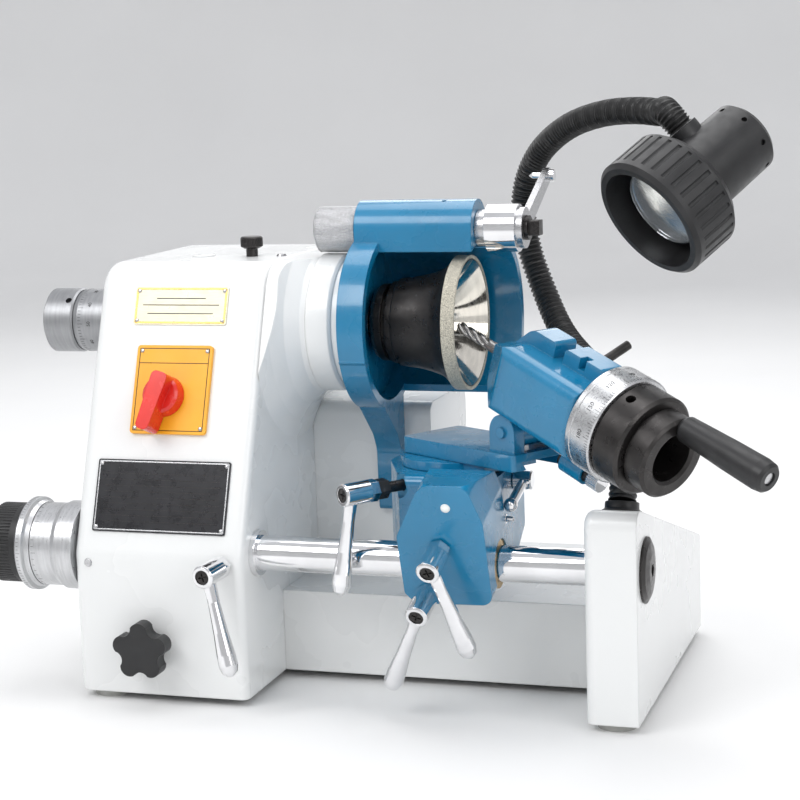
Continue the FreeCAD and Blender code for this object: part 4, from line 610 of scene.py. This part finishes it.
def lamp_inside():
    """Faceted reflector dish, bulb and clear front glass in place of the plain lens."""
    facets = 18
    dish_front = 17.5
    dish_depth = 21
    dish_radius = 29.6
    throat = 22

    def faceted(x, angle, radius):
        return radius * (1 - 0.018 * (1 - abs(math.cos(facets * angle / 2))))

    dish = [(dish_front, dish_radius)]
    for step in range(1, 13):
        angle = step / 12 * math.pi / 2
        radius = dish_radius - throat * (1 - math.cos(angle)) ** 0.8
        dish.append((dish_front + dish_depth * math.sin(angle), radius))
    dish += [(43, 7.0), (44, 13.8), (22.3, 30.2), (18.5, 30.3)]
    bulb_outline = [(23, 0.5), (23.6, 2.6), (25, 3.9), (28, 4.6), (33, 4.4), (42, 3.5), (42.5, 3.0)]
    pane_outline = [(14.0, 2), (14.2, 20), (14.6, 29.2), (15.2, 29.8), (16.4, 29.8), (16.4, 2)]
    points, faces = lathe(dish, LAMP, 144, faceted)
    reflector = mesh_piece("lamp_reflector", points, faces, CHROME, "lamp")
    points, faces = lathe(bulb_outline, LAMP, 40)
    bulb = mesh_piece("lamp_bulb", points, faces, ENAMEL, "lamp")
    points, faces = lathe(pane_outline, LAMP, 96)
    pane = mesh_piece("lamp_glass", points, faces, GLASS, "lamp")
    for piece in (reflector, bulb, pane):
        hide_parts("lamp_lens")


# Marks, borders and graduations ----------------------------------------------------------------------------
def tick_mesh(places):
    """Thin raised bars; places hold (centre matrix, half length, half width, thickness) in mm."""
    points = []
    faces = []
    for matrix, half_length, half_width, thickness in places:
        base = len(points)
        for z in (-0.05, thickness):
            for side_x, side_y in ((-1, -1), (1, -1), (1, 1), (-1, 1)):
                corner = Vector((side_x * half_length * MM, side_y * half_width * MM, z * MM))
                points.append(matrix @ corner)
        faces += [(base, base + 3, base + 2, base + 1), (base + 4, base + 5, base + 6, base + 7)]
        for index in range(4):
            nxt = (index + 1) % 4
            faces.append((base + index, base + nxt, base + 4 + nxt, base + 4 + index))
    return points, faces


def on_drum(matrix, x, radius, angle):
    """Local frame on a cylinder: X along its axis, Z outward."""
    outward = Vector((0, math.cos(angle), math.sin(angle)))
    local = Matrix((RIGHT, outward.cross(RIGHT), outward)).transposed().to_4x4()
    local.translation = Vector((x * MM, outward.y * radius * MM, outward.z * radius * MM))
    return matrix @ local


def graduations(name, matrix, radius, x_edge, direction, count, body, long_every, base_length):
    """Ink lines round a drum that start at x_edge, every long_every-th of full length."""
    places = []
    for index in range(count):
        half = base_length * (1.0 if index % long_every == 0 else 0.55) / 2
        centre = x_edge + direction * half
        places.append((on_drum(matrix, centre, radius, 2 * math.pi * index / count), half, 0.13, 0.04))
    points, faces = tick_mesh(places)
    mesh_piece(name, points, faces, INK, body, False)


def numerals(name, matrix, x, radius, labels, size, body):
    """Small dial numbers set round a drum, read along its rim."""
    upright = Matrix.Rotation(math.pi / 2, 4, "Z")
    points = []
    faces = []
    for index, label in enumerate(labels):
        curve = bpy.data.curves.new(name + label, "FONT")
        curve.body = label
        curve.size = size * MM
        curve.extrude = 0.04 * MM
        curve.align_x = "CENTER"
        curve.align_y = "CENTER"
        text = bpy.data.objects.new(name + label, curve)
        SCENE.collection.objects.link(text)
        bpy.context.view_layer.update()
        made = bpy.data.meshes.new_from_object(text)
        place = on_drum(matrix, x, radius, 2 * math.pi * index / len(labels)) @ upright
        base = len(points)
        points += [place @ vertex.co for vertex in made.vertices]
        faces += [tuple(base + vertex for vertex in polygon.vertices) for polygon in made.polygons]
        bpy.data.objects.remove(text)
        bpy.data.curves.remove(curve)
    mesh_piece(name, points, faces, INK, body, False)


def dial_marks():
    graduations("ring_ticks", HEAD, 38.02, 175.0, -1, 120, "quill", 5, 5.0)
    labels = [str(value) for value in range(0, 360, 30)]
    numerals("ring_numbers", HEAD, 166.2, 38.03, labels, 4.6, "quill")
    dial_edge = (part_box("feed_dial")[0].x - BAR.translation.x) / MM
    graduations("feed_ticks", BAR, 35.02, dial_edge + 2.2, 1, 80, "feed", 10, 3.2)
    graduations("barrel_ticks", BAR, 31.02, dial_edge + 12.5, 1, 40, "frame", 5, 3.5)
    edge = (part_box("quill_sleeve")[0].x - SPINDLE.translation.x) / MM
    graduations("quill_ticks", SPINDLE, 24.53, edge + 4.6, 1, 60, "frame", 5, 4.0)
    labels = [str(value) for value in range(0, 100, 10)]
    numerals("quill_numbers", SPINDLE, edge + 14, 24.53, labels, 4.0, "frame")


def slope_point(x, z, lift):
    """Frame lift mm off the column's sloping face: X right, Y up the slope, Z outward."""
    out = joint_axis("switch_turn")
    up = out.cross(RIGHT)
    origin = joint_point("switch_turn")
    rise = (z - origin.z / MM) / up.z
    local = Matrix((RIGHT, up, out)).transposed().to_4x4()
    local.translation = Vector((x * MM, origin.y, origin.z)) + up * (rise * MM) + out * (lift * MM)
    return local


def plate_lines(node, name, thickness, inset, width, material):
    """Raised border just inside a plate's edge."""
    low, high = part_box(node)
    out = joint_axis("switch_turn")
    up_z = out.cross(RIGHT).z
    middle_x = (low.x + high.x) / 2 / MM
    half_x = (high.x - low.x) / 2 / MM - inset
    centre_z = ((low.z + high.z) / 2 - out.z * thickness * MM / 2) / MM
    half_rise = (high.z - low.z - out.z * thickness * MM) / 2 / MM / up_z - inset
    centre = slope_point(middle_x, centre_z, thickness)
    quarter = Matrix.Rotation(math.pi / 2, 4, "Z")
    height = 0.12
    places = []
    for side in (-1, 1):
        place = centre @ Matrix.Translation((0, side * half_rise * MM, 0))
        places.append((place, half_x, width, height))
    for side in (-1, 1):
        place = centre @ Matrix.Translation((side * half_x * MM, 0, 0)) @ quarter
        places.append((place, half_rise, width, height))
    points, faces = tick_mesh(places)
    mesh_piece(name, points, faces, material, "frame", False)
    return centre, half_x, half_rise


def plate_details():
    """Borders and blank ruled lines on the plates, and the marks of the switch."""
    thin = 1.2
    thick = 3.0
    centre, half_x, half_rise = plate_lines("name_plate", "name_border", thin, 1.6, 0.7, GOLD)
    rows = [(centre @ Matrix.Translation((0, offset * MM, 0)), half_x * share, 0.35, 0.05)
            for offset, share in ((5.5, 0.55), (0.5, 0.86), (-6.0, 0.74))]
    points, faces = tick_mesh(rows)
    mesh_piece("name_rules", points, faces, INK, "frame", False)
    centre, half_x, half_rise = plate_lines("warning_plate", "warning_border", thin, 1.5, 0.45, SATIN)
    rows = []
    for row in range(9):
        offset = half_rise - 9 - row * 4.4
        rows.append((centre @ Matrix.Translation((0, offset * MM, 0)), half_x - 5.5, 0.16, 0.03))
    points, faces = tick_mesh(rows)
    mesh_piece("warning_rules", points, faces, OXIDE, "frame", False)
    centre, half_x, half_rise = plate_lines("switch_plate", "switch_border", thick, 2.4, 0.25, OXIDE)
    header = centre @ Matrix.Translation((0, (half_rise - 11) * MM, 0))
    points, faces = tick_mesh([(header, half_x, 0.25, 0.1)])
    mesh_piece("switch_header", points, faces, OXIDE, "frame", False)


# Camera, lights and backdrop ----------------------------------------------------------------------------
def camera():
    """Camera at the photograph's viewpoint, direction and focal length."""
    place = Vector((0.4646, -1.4030, 0.4535))
    sensor_width = 36.0
    focal_length = 89.4
    yaw = math.radians(18.11)
    elevation = math.radians(9.51)
    roll = math.radians(1.98)
    right = Vector((math.cos(yaw), math.sin(yaw), 0))
    level = math.cos(elevation)
    forward = Vector((-math.sin(yaw) * level, math.cos(yaw) * level, -math.sin(elevation)))
    up = right.cross(forward)
    tilted_right = right * math.cos(roll) - up * math.sin(roll)
    tilted_up = right * math.sin(roll) + up * math.cos(roll)
    data = bpy.data.cameras.new("camera")
    data.sensor_width = sensor_width
    data.lens = focal_length
    view = bpy.data.objects.new("camera", data)
    matrix = Matrix((tilted_right, tilted_up, -forward)).transposed().to_4x4()
    matrix.translation = place
    view.matrix_world = matrix
    SCENE.collection.objects.link(view)
    SCENE.camera = view


def area_light(name, place, target, size, power, color=(1, 1, 1)):
    data = bpy.data.lights.new(name, "AREA")
    data.shape = "RECTANGLE"
    data.size = size[0]
    data.size_y = size[1]
    data.energy = power
    data.color = color
    light = bpy.data.objects.new(name, data)
    light.location = place
    aim = Vector(target) - Vector(place)
    light.rotation_euler = aim.to_track_quat("-Z", "Y").to_euler()
    SCENE.collection.objects.link(light)


def backdrop():
    """Pale round floor that curves up into a low wall on every side."""
    floor_radius = 2.6
    cove = 1.2
    wall_top = 2.2
    steps = 12
    count = 96
    rings = [(radius, 0.0) for radius in (0.6, 1.2, 2.0, floor_radius)]
    for index in range(1, steps + 1):
        angle = math.pi / 2 * index / steps
        rings.append((floor_radius + cove * math.sin(angle), cove - cove * math.cos(angle)))
    rings.append((floor_radius + cove, wall_top))
    points = []
    for radius, height in rings:
        for index in range(count):
            angle = 2 * math.pi * index / count
            points.append((radius * math.cos(angle), radius * math.sin(angle), height))
    faces = [face[::-1] for face in ring_faces(len(rings), count)] + [tuple(range(count))]
    data = bpy.data.meshes.new("backdrop")
    data.from_pydata(points, [], faces)
    data.polygons.foreach_set("use_smooth", [True] * len(data.polygons))
    look = Look("backdrop_paper", (0.84, 0.84, 0.835), 0.85)
    look.vary_color(3, 0.015).bump(120, 0.0001)
    data.materials.append(look.material)
    sweep = bpy.data.objects.new("backdrop", data)
    SCENE.collection.objects.link(sweep)


def world():
    """Bright overhead, dim near the horizon, so polished metal has something dark to mirror."""
    world_data = bpy.data.worlds.new("studio")
    world_data.use_nodes = True
    tree = world_data.node_tree
    background = tree.nodes["Background"]
    coordinate = tree.nodes.new("ShaderNodeTexCoord")
    split = tree.nodes.new("ShaderNodeSeparateXYZ")
    ramp = tree.nodes.new("ShaderNodeValToRGB")
    tree.links.new(coordinate.outputs["Generated"], split.inputs["Vector"])
    tree.links.new(split.outputs["Z"], ramp.inputs["Fac"])
    ramp.color_ramp.elements[0].position = 0.10
    ramp.color_ramp.elements[0].color = (0.10, 0.10, 0.105, 1)
    ramp.color_ramp.elements[1].position = 0.55
    ramp.color_ramp.elements[1].color = (0.95, 0.96, 1.0, 1)
    tree.links.new(ramp.outputs["Color"], background.inputs["Color"])
    background.inputs["Strength"].default_value = 0.72
    SCENE.world = world_data


camera()
backdrop()
world()
area_light("key", (-0.9, -1.5, 1.7), (0, 0, 0.15), (1.4, 1.0), 20)
area_light("fill", (1.6, -1.2, 1.0), (0.05, 0, 0.2), (1.2, 1.2), 10)
area_light("top", (0.1, 0.3, 1.9), (0, 0, 0.2), (1.6, 1.2), 15)
area_light("back", (-0.4, 1.6, 1.3), (0, 0, 0.2), (1.2, 0.8), 7)
SCENE.view_settings.view_transform = "Standard"

dress_nodes()
dress_details()
grinding_wheel()
cutter()
knurled_knob()
gooseneck()
lamp_inside()
dial_marks()
plate_details()
